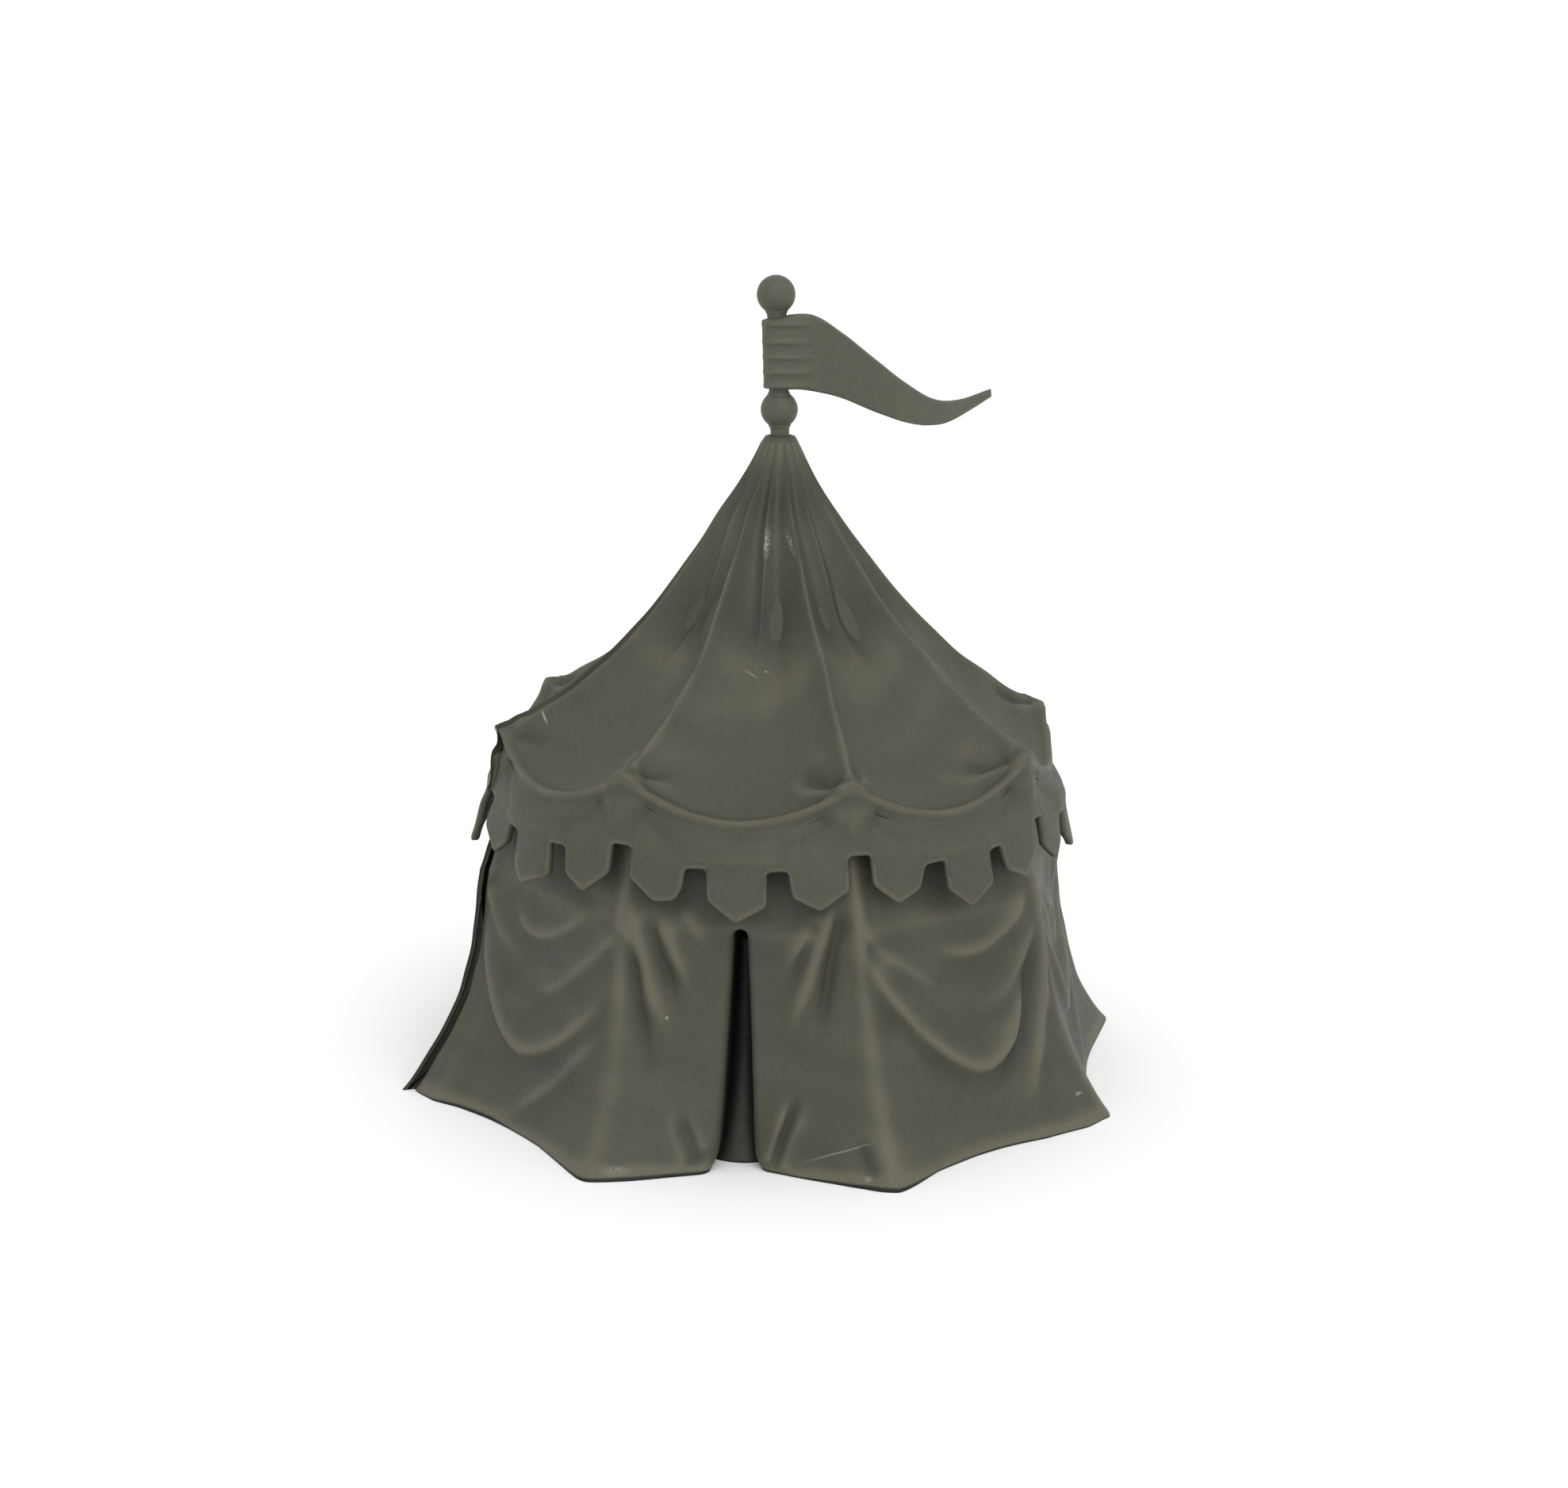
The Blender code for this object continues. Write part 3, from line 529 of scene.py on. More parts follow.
def roofHalf(name, first, last, replaced):
    v, w = roofValues, valanceValues
    # the lower edge of all sides from first to last corner
    lines = []
    for k in range(round(first / sideAngle + 0.5), round(last / sideAngle + 0.5)):
        line = roundedLine(tabOutline(20 + k % 8, {0: "broken", 6: "long"}.get(k % 8)), w["cornerRound"], 0.42)
        angle = line[:, 0] / 17.48 * halfSide + k * sideAngle
        lines.append(np.stack([angle, line[:, 1]], 1)[: None if k == round(last / sideAngle - 0.5) else -1])
    edge = np.concatenate(lines)
    gap = seam["halfGap"] / 45
    edge[:, 0] = np.clip(edge[:, 0], first + gap, last - gap)
    columns = len(edge)
    top = np.linspace(first + gap, last - gap, columns)
    # unit normal of the lower edge, into the sheet, in millimetres round and up
    flat = np.stack([edge[:, 0] * 45, edge[:, 1]], 1)
    tangent = np.gradient(flat, axis=0)
    tangent /= np.linalg.norm(tangent, axis=1)[:, None] + 1e-9
    inward = np.stack([-tangent[:, 1], tangent[:, 0]], 1)

    down = np.concatenate([np.linspace(0.012, 0.92, 64), np.linspace(0.92, 1, 26)[1:]])[:, None]
    azimuth = np.broadcast_to(top, (len(down), columns))
    radius, height, fold, up = roofSheet(azimuth, down)
    slopeR, slopeZ = np.gradient(radius, axis=0), np.gradient(height, axis=0)
    lean = np.arctan2(slopeR, -slopeZ)  # of the surface normal above level
    middle = math.radians(44)
    blend = smoothStep(0, 1.4, up)
    lean = middle * (1 - blend) + lean * blend
    fold = blur(fold, 2) + bead(azimuth, radius, up) + knot(azimuth, radius, up)
    outerRoof = place(azimuth, radius + np.cos(lean) * fold, height + np.sin(lean) * fold)
    outerRoof[..., 0] += drift(down)
    # paler on fold ridges (rubbed wear and painted highlight) and in a band along the eaves bead (painted highlight),
    # darker in the pleat valleys (painted shade)
    roofWearAndPaintedLight = np.clip(relief(fold, 50, 0.32) + 0.35 * np.exp(-(up / 0.7) ** 2), -1, 1)

    def sheetPoint(angle, z, depth):
        r, f, below = valanceSheet(angle, z)
        tilt = 0.25
        share = smoothStep(0, 1.4, below)
        tilt = middle * (1 - share) + tilt * share
        f = f + (bead(angle, r, below * 1.07) + knot(angle, r, below)) * (depth < 0.01)
        return place(angle, r + np.cos(tilt) * f - depth, z + np.sin(tilt) * f), f

    def between(share, inset):
        # straight from the eaves line to the lower edge, drawn in from it by inset
        lowAngle = np.clip(edge[:, 0] + inward[:, 0] * inset / 45, first + gap, last - gap)
        lowHeight = edge[:, 1] + inward[:, 1] * inset
        angle = top + (lowAngle - top) * share
        z = eaves(sideOf(top)[1])[1]
        return angle, z + (lowHeight - z) * share

    share = np.concatenate([np.linspace(0, 0.3, 18)[1:], np.linspace(0.3, 1, 26)[1:]])[:, None]
    angle, z = between(share, w["edgeRound"])
    outerValance, foldValance = sheetPoint(angle, z, np.zeros_like(angle))
    # paler on fold ridges (rubbed wear and painted highlight) and along the eaves bead (painted highlight), darker in
    # fold hollows (painted shade)
    valanceWearAndPaintedLight = relief(foldValance, 40) + 0.35 * np.exp(-((eaves(sideOf(angle)[1])[1] - z) / 0.7) ** 2)
    # painted highlight on the tabs' rounded lower rims
    valanceWearAndPaintedLight += 0.6 * smoothStep(0.95, 1, share)
    rim, rimPaintedHighlight = [], []
    for turn in np.linspace(0, math.pi / 2, 4)[1:]:
        a, z1 = between(np.ones((1, 1)), w["edgeRound"] * (1 - math.sin(turn)))
        rim.append(sheetPoint(a, z1, np.full(a.shape, w["edgeRound"] * (1 - math.cos(turn)) + 0.011))[0])
        # painted highlight round the rim's outer turn
        rimPaintedHighlight.append(np.full(a.shape, 0.6))
    for turn in np.linspace(0, math.pi / 2, 3)[:-1]:
        a, z1 = between(np.ones((1, 1)), w["edgeRound"] * (1 - math.cos(turn)))
        rim.append(sheetPoint(a, z1, np.full(a.shape, w["thickness"] - w["edgeRound"] * (1 - math.sin(turn))))[0])
        rimPaintedHighlight.append(np.zeros(a.shape))
    back = np.linspace(1, 0.12, 8)[:, None]
    angle, z = between(back, w["edgeRound"])
    innerValance = sheetPoint(angle, z, np.full(angle.shape, w["thickness"]))[0]

    down = np.linspace(1, 0.02, 22)[:, None]
    azimuth = np.broadcast_to(top, (len(down), columns))
    side, across = sideOf(azimuth)
    edgeRadius, edgeHeight = eaves(across)
    rise = 1 - down
    shareUp = ((rise ** 3 - 2 * rise ** 2 + rise) * v["eavesSlope"] + (3 * rise ** 2 - 2 * rise ** 3)
               + (rise ** 3 - rise ** 2) * v["crownSlope"])
    radius = v["crownRadius"] + (edgeRadius - v["crownRadius"]) * down
    height = edgeHeight + (v["crownHeight"] - edgeHeight) * shareUp
    turn = math.pi / 2 * rise ** 0.8
    thick = 0.8 + (v["thickness"] + 0.5 - 0.8) * smoothStep(0, 0.25, down)
    innerRoof = place(azimuth, radius - thick * np.sin(turn), height - thick * np.cos(turn))
    innerRoof[..., 0] += drift(down)
    lipRows = [(1.52, 95.2), (1.52, 96.15), (1.68, 96.42), (1.95, 96.5), (2.2, 96.42), (2.42, 96.1)]
    lip = place(top[None], np.array([r for r, _ in lipRows])[:, None], np.array([z for _, z in lipRows])[:, None])
    rows = [outerRoof, outerValance, *rim, innerValance, innerRoof, lip]
    loop = np.concatenate(rows)
    blank = lambda grid: np.zeros(grid.shape[:2])
    wearAndPaintedLight = np.concatenate([roofWearAndPaintedLight, valanceWearAndPaintedLight, *rimPaintedHighlight, blank(innerValance), blank(innerRoof), blank(lip)])
    return makePiece(name, loop, shellFaces(len(loop), columns), cloth, replaced, wearAndPaintedLight)


def nodesOf(kind, numbers):
    return [f"{kind}_{sideNames[k % 8]}" for k in numbers]


front, back = (-1, 0, 1, 2), (3, 4, 5, 6)
roofHalf("roof_front_half", seam["left"], seam["right"], nodesOf("roof_gore", front) + nodesOf("valance", front))
roofHalf("roof_back_half", seam["right"], seam["left"] + 2 * math.pi, nodesOf("roof_gore", back) + nodesOf("valance", back))


# Walls. Fold lines are in millimetres across from each side's middle, and up

wallFolds = {
    7: [
        dict(points=[(-8, 31.5), (-4.8, 28.3), (-2.0, 27.0), (1.3, 27.3), (5.2, 28.9), (9.1, 31.4), (12.0, 33.7)], height=0.8, left=2.0, right=1.0),
        dict(points=[(-14.6, 32), (-13.7, 29.7), (-10.4, 26.5), (-5.9, 23.6), (-1.6, 22.0)], height=0.7, left=1.8, right=1.2, end=0.4),
        dict(points=[(-1.0, 18.6), (2.9, 19.6), (7.2, 22.0), (11.9, 26.0), (16.1, 30.2), (17.2, 33)], height=0.75, left=2.0, right=1.1, start=0.35),
        dict(points=[(-15.2, 30), (-13.9, 25.6), (-11.8, 21.4), (-8.3, 16.3), (-4.5, 12.6), (-0.1, 10.7), (4.3, 11.4), (8.9, 14.0), (12.7, 17.4), (15.8, 21.4), (17.3, 25.5)], height=1.25, left=2.6, right=1.0),
        dict(points=[(-3, 1.6), (1.5, 2.1), (5.3, 4.3), (9.1, 7.7), (12.8, 11.8), (15.7, 15.3), (17.5, 18.6)], height=0.9, left=2.4, right=1.3, start=0.45),
        dict(points=[(-6.5, 17.5), (-3, 16.6), (1.0, 17.0)], height=0.3, left=1.2, right=1.0, start=0.4, end=0.4),
        dict(points=[(-15.8, 34), (-15.6, 25.5), (-14.5, 19.5)], height=-0.6, left=0.9, right=0.9, start=0.2, end=0.5),
    ],
    1: [
        dict(points=[(-6, 30.5), (-2.0, 28.7), (2.0, 27.6), (6.0, 27.8), (10.1, 29.8), (13.2, 32.6), (15, 36)], height=0.9, left=2.0, right=1.1, start=0.4),
        dict(points=[(-15.4, 36), (-13.9, 31.7), (-10.1, 28.7), (-4.9, 24.8), (-2, 23.2)], height=0.7, left=1.6, right=1.3, start=0.3, end=0.4),
        dict(points=[(2.7, 18.5), (6.4, 19.3), (10.1, 21.3), (12.9, 25.0), (14.6, 28.2), (16.3, 31.5)], height=0.75, left=1.8, right=1.1, start=0.45),
        dict(points=[(-15.2, 32), (-14.2, 28.1), (-12.1, 24.3), (-8.2, 19.4), (-3.6, 15.0), (0.6, 12.0), (4.1, 11.1), (7.9, 12.9), (11.0, 16.1), (12.7, 20.0), (13.9, 25)], height=1.3, left=2.6, right=1.0, start=0.12, end=0.3),
        dict(points=[(3.9, 15.2), (8.0, 15.7), (11.3, 18.4), (12.9, 22)], height=0.4, left=1.1, right=0.8, start=0.4, end=0.4),
        dict(points=[(16.9, 34), (17.5, 30.0), (17.6, 25.3), (17.0, 19.2), (15.5, 14.9), (13.5, 10.1), (11.3, 6.4), (8.2, 4.1)], height=1.0, left=1.1, right=1.5, start=0.15, end=0.35),
        dict(points=[(15.6, 28.5), (14.9, 22.0), (13.2, 16.5), (10.8, 12.2), (7.1, 8.6), (2.4, 6.2)], height=-0.75, left=1.1, right=1.1, start=0.2, end=0.5),
        dict(points=[(-12.2, 20.3), (-9.4, 15.7), (-5.9, 10.2)], height=0.35, left=1.2, right=1.2, start=0.4, end=0.5),
        dict(points=[(-14.6, 33), (-14.2, 29.5), (-13.6, 25)], height=-0.6, left=0.8, right=0.9, start=0.3, end=0.5),
        dict(points=[(18.6, 28), (18.6, 22), (19.6, 15.5)], height=-0.5, left=0.7, right=0.7, start=0.3, end=0.5),
    ],
    0: [
        dict(points=[(-15.6, 37), (-12.6, 30.4), (-11.0, 24.9), (-8.9, 19.5), (-6.5, 15.0)], height=1.0, left=1.7, right=2.2, start=0.15, end=0.5),
        dict(points=[(-14.6, 33.0), (-13.2, 24.5), (-11.7, 16.5), (-10.3, 10.5)], height=-0.85, left=1.3, right=1.3, start=0.25, end=0.5),
        dict(points=[(-10.4, 35.4), (-8.1, 30.7), (-6.2, 25.9), (-5.3, 21.0)], height=0.85, left=1.2, right=1.2, start=0.2, end=0.6),
        dict(points=[(-11.9, 34.8), (-10.1, 29.4), (-8.4, 25.0), (-6.7, 19.6)], height=-0.8, left=1.0, right=1.1, start=0.15, end=0.5),
        dict(points=[(-7.8, 36.4), (-4.8, 33.1), (-3.2, 28.4)], height=0.55, left=0.9, right=1.1, start=0.25, end=0.6),
        dict(points=[(-8.2, 9.6), (-6.5, 4.9), (-4.3, 1.0)], height=0.45, left=0.9, right=0.9, start=0.4, end=0.2),
        dict(points=[(-6.4, 8.2), (-4.6, 4.0), (-3.2, 1.0)], height=-0.5, left=0.8, right=0.8, start=0.3, end=0.1),
        dict(points=[(-5.9, 8.6), (-3.9, 5.7), (-1.9, 2.2)], height=0.4, left=0.8, right=0.8, start=0.4, end=0.2),
        dict(points=[(13.8, 37.0), (11.7, 30.7), (10.6, 26.2), (9.1, 21.7), (7.6, 17.2)], height=1.15, left=1.2, right=1.4, start=0.12, end=0.5),
        dict(points=[(15.2, 37.0), (14.0, 29.0), (13.3, 22.7), (12.2, 15.5)], height=-1.0, left=1.3, right=1.2, start=0.15, end=0.5),
        dict(points=[(11.1, 34.8), (8.6, 30.1), (6.1, 25.4)], height=0.65, left=1.1, right=1.1, start=0.2, end=0.6),
        dict(points=[(12.2, 34.9), (9.9, 29.8), (7.5, 22.8)], height=-0.7, left=0.9, right=0.9, start=0.15, end=0.6),
        dict(points=[(9.1, 11.0), (7.5, 6.4), (6.1, 1.0)], height=0.75, left=0.7, right=0.8, start=0.4, end=0.05),
        dict(points=[(10.5, 11.4), (8.6, 5.8), (7.0, 0.8)], height=-0.8, left=0.7, right=0.7, start=0.4, end=0.05),
        dict(points=[(11.8, 10.6), (9.4, 5.2), (7.9, 0.6)], height=0.7, left=0.8, right=1.0, start=0.4, end=0.05),
        dict(points=[(18.9, 6.4), (20.4, 3.3), (22.2, 0.6)], height=-0.6, left=0.9, right=0.9, start=0.4, end=0.15),
    ],
}


def mirrored(lines):
    # the same folds with left and right swapped
    out = []
    for line in lines:
        points = [(-x, y) for x, y in line["points"]]
        out.append({**line, "points": points, "left": line.get("right", 1.6), "right": line.get("left", 1.6)})
    return out


for k, source, flip in ((2, 7, False), (3, 1, True), (4, 7, True), (5, 1, False), (6, 1, True)):
    wallFolds[k] = mirrored(wallFolds[source]) if flip else wallFolds[source]


def wallTwist(height):
    # the skirt turns against the eaves, in proportion to the distance below them
    return wallValues["twist"] * np.clip(1 - height / eavesValues["height"], 0, None)


def wallSheet(azimuth, height):
    # outer radius: corner = waist + flare * exp(-z / h) less the shoulder, a straight side between softened corners,
    # bowed in towards the foot, and the height of its folds
    v = wallValues
    side, across = sideOf(azimuth)
    apart = 1 - np.abs(across)
    corner = v["waist"] + v["flare"] * np.exp(-height / v["flareHeight"])
    corner = corner - v["shoulderSlope"] * np.clip(height - v["shoulderHeight"], 0, None)
    plain = (v["inset"] + np.take(v["footInset"], side) * np.exp(-height / v["insetHeight"])) * (1 - (1 - apart) ** 1.7)
    doorInset = v["doorInset"][0] + (v["doorInset"][1] - v["doorInset"][0]) * smoothStep(-0.3, 0.3, across)
    door = 0.3 * hang(across) + doorInset * np.exp(-height / v["doorInsetHeight"]) * apart ** 1.05
    radius = chord(corner, across) - np.where(side == 0, door, plain)
    fromCorner = apart * radius * math.tan(halfSide)
    round_ = 1.5 + 0.9 * smoothStep(2, 16, height)
    radius = radius - 0.5 * (np.sqrt(fromCorner ** 2 + round_ ** 2) - fromCorner) + 0.45
    turned = azimuth + wallTwist(height)
    fold = np.zeros(azimuth.shape)
    for k, lines in wallFolds.items():
        mask = side == k
        if mask.any():
            away = turned[mask] - k * sideAngle
            lateral = radius[mask] * np.sin(away - 2 * math.pi * np.round(away / (2 * math.pi)))
            fold[mask] = v["foldScale"] * foldField(lateral, height[mask], lines)
    fold *= smoothStep(0, 0.09, apart) * (1 - smoothStep(38, 44, height))
    pillar = 0.35 + 0.45 * smoothStep(8, 30, height)
    fold += pillar * np.exp(-(fromCorner / (1.9 - 0.6 * smoothStep(10, 35, height))) ** 2) * smoothStep(0, 10, height)
    fold += slowNoise(9, azimuth, height, 16, 0.13)
    lip = np.clip(1 - (seam["left"] + 2 * math.pi - azimuth) * radius / 0.5, 0, 0.5)
    fold += (proudEdge["wall"] + proudEdge["foot"] * np.exp(-height / 6)) * proud(azimuth, radius)
    fold -= 0.5 * (1 - np.sqrt(1 - lip ** 2)) * (azimuth > seam["right"])
    fold += proudEdge["right"] * smoothStep(4, 16, height) * nearRightSeam(azimuth, radius)
    fold += np.interp(np.degrees(azimuth), hemReach[:, 0], hemReach[:, 1]) * np.exp(-height / 9)
    return radius, fold


# How much farther the foot stands out than the plain shape, by azimuth in degrees
hemReach = np.array([
    (-67.5, -0.5), (-62, 0.5), (-58, -0.2), (-46, -0.3), (-36, -0.4), (-30, 0.1), (-24, 0.7), (-17, 0.6), (-12, 0.1),
    (0, -0.2), (14, -0.3), (20, 0.2), (26, -0.4), (31, -1.2), (40, -0.8), (47, 0), (54, 0.9), (62, 0.5), (66, -0.9),
    (72, -1.1), (80, -0.9), (90, -0.1), (103, 0.5), (112, 0.6), (125, 0), (292.5, 0),
])


# The lowest edge is undercut and painted black as the shadow in the gap under the hem, by azimuth in degrees and height
# in millimetres
hemShadow = np.array([
    (-67, 0.2), (-58, 0.6), (-50, 0.7), (-43, 0.35), (-30, 0.35), (-18, 0.7), (0, 0.55), (9, 0.35), (21, 0.75), (30, 0.35),
    (45, 0.4), (66, 0.25), (90, 0.45), (116, 0.3), (160, 0.5), (205, 0.3), (250, 0.45), (293, 0.2),
])


def atHem(azimuth, height):
    # heights up to footRound are scaled to the height of the painted hem shadow there, and those above make room for it
    low = wallValues["footRound"]
    edge = np.interp(np.degrees(azimuth), hemShadow[:, 0], hemShadow[:, 1])
    return np.where(height < low, height * edge / low, height + (edge - low) * (1 - smoothStep(low, 5, height)))


def wallTop(azimuth):
    # just under the roof: the eaves' height there, less the sheet, and a share of the way in to the wall
    edgeRadius, edgeHeight = eaves(sideOf(azimuth)[1])
    return edgeHeight - 1.5 + 0.35 * (edgeRadius - 39.0)


def wallShell(name, columns, replaced, outerRows=118, innerRows=14):
    # azimuth per row and column, the foot rounded, carried up the outside, over the top and down the inside
    v = wallValues
    count = len(columns)
    up = np.concatenate([np.linspace(0, 1, outerRows)])[:, None]
    azimuth = np.broadcast_to(columns, (outerRows, count))
    top = wallTop(azimuth)
    round_ = v["footRound"]
    height = atHem(azimuth, round_ + (top - round_) * up)
    radius, fold = wallSheet(azimuth, height)
    fold = blur(fold, 2)
    outer = place(azimuth + wallTwist(height), radius + fold, height)
    # paler on fold ridges (rubbed wear and painted highlight), darker in fold hollows (painted shade), and darker
    # towards the top under the valance (painted shade)
    wearAndPaintedLight = relief(fold, 60, 0.34) - v["paintedShadeUnderValance"] * smoothStep(34, 42, height)
    # painted shadow: the lowest row black, for the gap under the hem
    wearAndPaintedLight[0] = -2
    foot = []
    for turn in np.linspace(math.pi / 2, 0, 5)[:-1]:
        z = atHem(azimuth[:1], round_ * (1 - math.sin(turn)) * np.ones((1, count)))
        depth = 0.4 * (1 - math.cos(turn))
        r, f = wallSheet(azimuth[:1], z)
        foot.append(place(azimuth[:1] + wallTwist(z), r + f - depth, z))
    share = np.linspace(1, 0, innerRows)[:, None]
    azimuthIn = np.broadcast_to(columns, (innerRows, count))
    zIn = wallTop(azimuthIn) * share
    rIn, fIn = wallSheet(azimuthIn, zIn)
    inner = place(azimuthIn + wallTwist(zIn), rIn + 0.5 * fIn - v["thickness"], zIn)
    loop = np.concatenate([*foot, outer, inner])
    # the foot rings black: painted shadow under the hem
    full = np.concatenate([np.full((4, count), -2.0), wearAndPaintedLight, np.zeros((innerRows, count))])
    # the last end: two more lines along the outside's edge, painted with shade for the crevice beside the front
    # moulding: slightly darker at the first line, black at the second
    last = loop[:outerRows + 4, -1]
    level = last * (1, 1, 0) / np.linalg.norm(last[:, :2], axis=1)[:, None]
    lines = [last - level * depth for depth in (0.5, 0.75)]
    points = np.concatenate([loop.reshape(-1, 3), *lines])
    number = np.arange(len(loop)) * count + count - 1
    first, second = loop.size // 3 + np.arange(2 * len(last)).reshape(2, -1)
    strip = np.stack([number[:len(last)], first, second], 1)
    faces = [gridFaces(len(loop), count, wrapRows=True), (np.arange(len(loop)) * count)[None]]
    faces += [np.stack([a[:-1], b[:-1], b[1:], a[1:]], 1)[:, ::-1] for a, b in zip(strip.T[:-1], strip.T[1:])]
    faces.append(np.concatenate([second, number[len(last):]])[::-1][None])
    # painted shade on the end strip: -0.3, then black
    full = np.concatenate([full.ravel(), np.full(len(last), -0.3), np.full(len(last), -2.0)])
    return makePiece(name, points, faces, cloth, replaced, full)


gap = seam["halfGap"] / 46
end = seam["left"] + 2 * math.pi - gap
columns = np.concatenate([np.linspace(seam["right"] + gap, end - 0.011, 466), end - np.array([0.009, 0.006, 0.004, 0.0025, 0.0012, 0])])
wallShell("wall_back_half", columns, nodesOf("wall", back))

doorValues = {
    "top": 33.2, "centre": 1.05, "centreShift": 0.77, "halfTop": 0.85, "halfGrow": 1.62, "footSpread": 1.1,
    "roll": 1.1, "recess": 6.5, "recessFoot": 2.6, "curtainThickness": 1.3, "curtainTop": 30.0,
}


def slitEdge(way, height):
    # distance of the slit's edge from the front's middle: centre + way * half, where half grows downward, is rounded
    # off at the top and spreads at the foot
    v = doorValues
    s = np.clip(1 - height / v["top"], 0, 1)
    closed = np.sqrt(np.clip((v["top"] - height) / 1.6, 0, 1))
    half = closed * (v["halfTop"] + v["halfGrow"] * s ** 0.9) + v["footSpread"] * np.exp(-height / 1.2) * closed
    return v["centre"] + v["centreShift"] * s ** 1.5 + way * half


def recess(height):
    # depth of the doorway's returns, less at the foot
    v = doorValues
    return v["recess"] - (v["recess"] - v["recessFoot"]) * np.exp(-height / 9)


def doorFront(name, far, counts, replaced):
    # the front moulding's walls in one sheet: two blocks of columns that share their inner line above the slit, and
    # below it roll in and run back as returns
    v, w = doorValues, wallValues
    foot, step, flange = 4, 4, 16
    slitRows, headRows = 84, 28
    top = eaves(np.zeros(1))[1][0] - 0.9
    height = np.concatenate([
        np.linspace(w["footRound"], v["top"], slitRows + 1), np.linspace(v["top"], top, headRows + 1)[1:],
    ])[:, None]
    total = len(height)

    def block(way, limit, count, z, inside):
        # outer or inner surface of one block, its columns from the far corner to the slit
        z = np.asarray(z, float)
        open_ = smoothStep(v["top"] + 0.01, v["top"] - 2.0, z)
        r0 = wallSheet(np.zeros_like(z), z)[0]
        edge = np.arcsin(slitEdge(way, z) / r0) - wallTwist(z)
        stop = edge + way * v["roll"] / 44
        share = np.linspace(0, 1, count)
        # rows end under the roof, which rises towards the corners
        azimuth = limit + (stop - limit) * share
        t = np.linspace(0, 1, flange + 1)[1:]
        turn = np.clip(t * 2, 0, 1) * math.pi / 2
        back = np.clip(t * 2 - 1, 0, 1)
        rolledSide = v["roll"] * (1 - np.sin(turn))
        rolledDepth = v["roll"] * (1 - np.cos(turn)) + (recess(z) - v["roll"]) * back
        if inside:
            rolledSide = np.maximum(rolledSide, 0) * 0.4 + 1.0
            rolledDepth = w["thickness"] + (rolledDepth - w["thickness"]) * np.clip(t * 1.6, 0, 1)
        spreadSide = v["roll"] * (1 - t) + 0 * z
        spreadDepth = (w["thickness"] if inside else 0.0) + 0 * spreadSide
        sideways = spreadSide + (rolledSide - spreadSide) * open_
        depth = spreadDepth + (rolledDepth - spreadDepth) * open_
        azimuth = np.concatenate([azimuth, edge + way * sideways / 44], axis=1)
        lifted = atHem(azimuth, z) + (wallTop(azimuth) - top) * smoothStep(v["top"], top, z)
        radius, fold = wallSheet(azimuth, lifted)
        fold = blur(fold, 2)
        depthAll = np.concatenate([np.full((len(z), count), w["thickness"] if inside else 0.0), depth], axis=1)
        shown = fold * (0.5 if inside else 1.0)
        return place(azimuth + wallTwist(lifted), radius + shown - depthAll, lifted), radius + shown

    points, numbers, wearAndPaintedLightLists = [], [], []
    first = 0
    for way, limit, count in ((-1, far[0], counts[0]), (1, far[1], counts[1])):
        outer, bulge = block(way, limit, count, height, False)
        inner, _ = block(way, limit, count, height[::step], True)
        rings = []
        for turn in np.linspace(math.pi / 2, 0, foot + 1)[:-1]:
            ring, _ = block(way, limit, count, np.full((1, 1), w["footRound"] * (1 - math.sin(turn))), False)
            inward = ring[..., :2] / np.linalg.norm(ring[..., :2], axis=-1, keepdims=True)
            ring[..., :2] -= inward * 0.4 * (1 - math.cos(turn))
            rings.append(ring)
        last, _ = block(way, limit, count, np.zeros((1, 1)), True)
        loop = np.concatenate([*rings, outer, inner[::-1], last])
        wearAndPaintedLight = np.zeros(loop.shape[:2])
        # painted shadow: the foot rings black, for the gap under the hem
        wearAndPaintedLight[:foot] = -2
        # paler on fold ridges (rubbed wear and painted highlight), darker in hollows (painted shade)
        wearAndPaintedLight[foot:foot + total] = relief(bulge)
        # painted shade: the returns behind the slit darken to black below the slit's top
        inside = np.concatenate([np.zeros(count), smoothStep(0.35, 0.8, np.linspace(0, 1, flange + 1)[1:])])
        wearAndPaintedLight[foot:foot + total] -= 2.2 * inside * smoothStep(v["top"] + 0.2, v["top"] - 1, height)
        if way > 0:
            loop, wearAndPaintedLight = loop[:, ::-1], wearAndPaintedLight[:, ::-1]
        number = first + np.arange(loop.shape[0] * loop.shape[1]).reshape(loop.shape[:2])
        first += number.size
        points.append(loop.reshape(-1, 3))
        wearAndPaintedLightLists.append(wearAndPaintedLight.ravel())
        numbers.append(number)
    left, right = numbers
    z = np.concatenate([np.zeros(foot), height[:, 0], height[::step][::-1, 0], [0]])
    joined = z >= v["top"] - 1e-6
    right[joined, 0] = left[joined, -1]
    innerFirst = foot + total

    def quads(number):
        below = np.roll(number, -1, 0)
        return np.stack([number[:, :-1], number[:, 1:], below[:, 1:], below[:, :-1]], -1).reshape(-1, 4)

    def endCap(column, rows):
        # outer line from the foot up to rows, inner line beside it; the foot's rings close with one face
        outerLine = column[foot:foot + rows]
        innerLine = column[innerFirst:-1][::-1][: (rows - 1) // step + 1]
        return capFaces(outerLine, innerLine, step) + [np.concatenate([column[:foot + 1], innerLine[:1], column[-1:]])[None]]

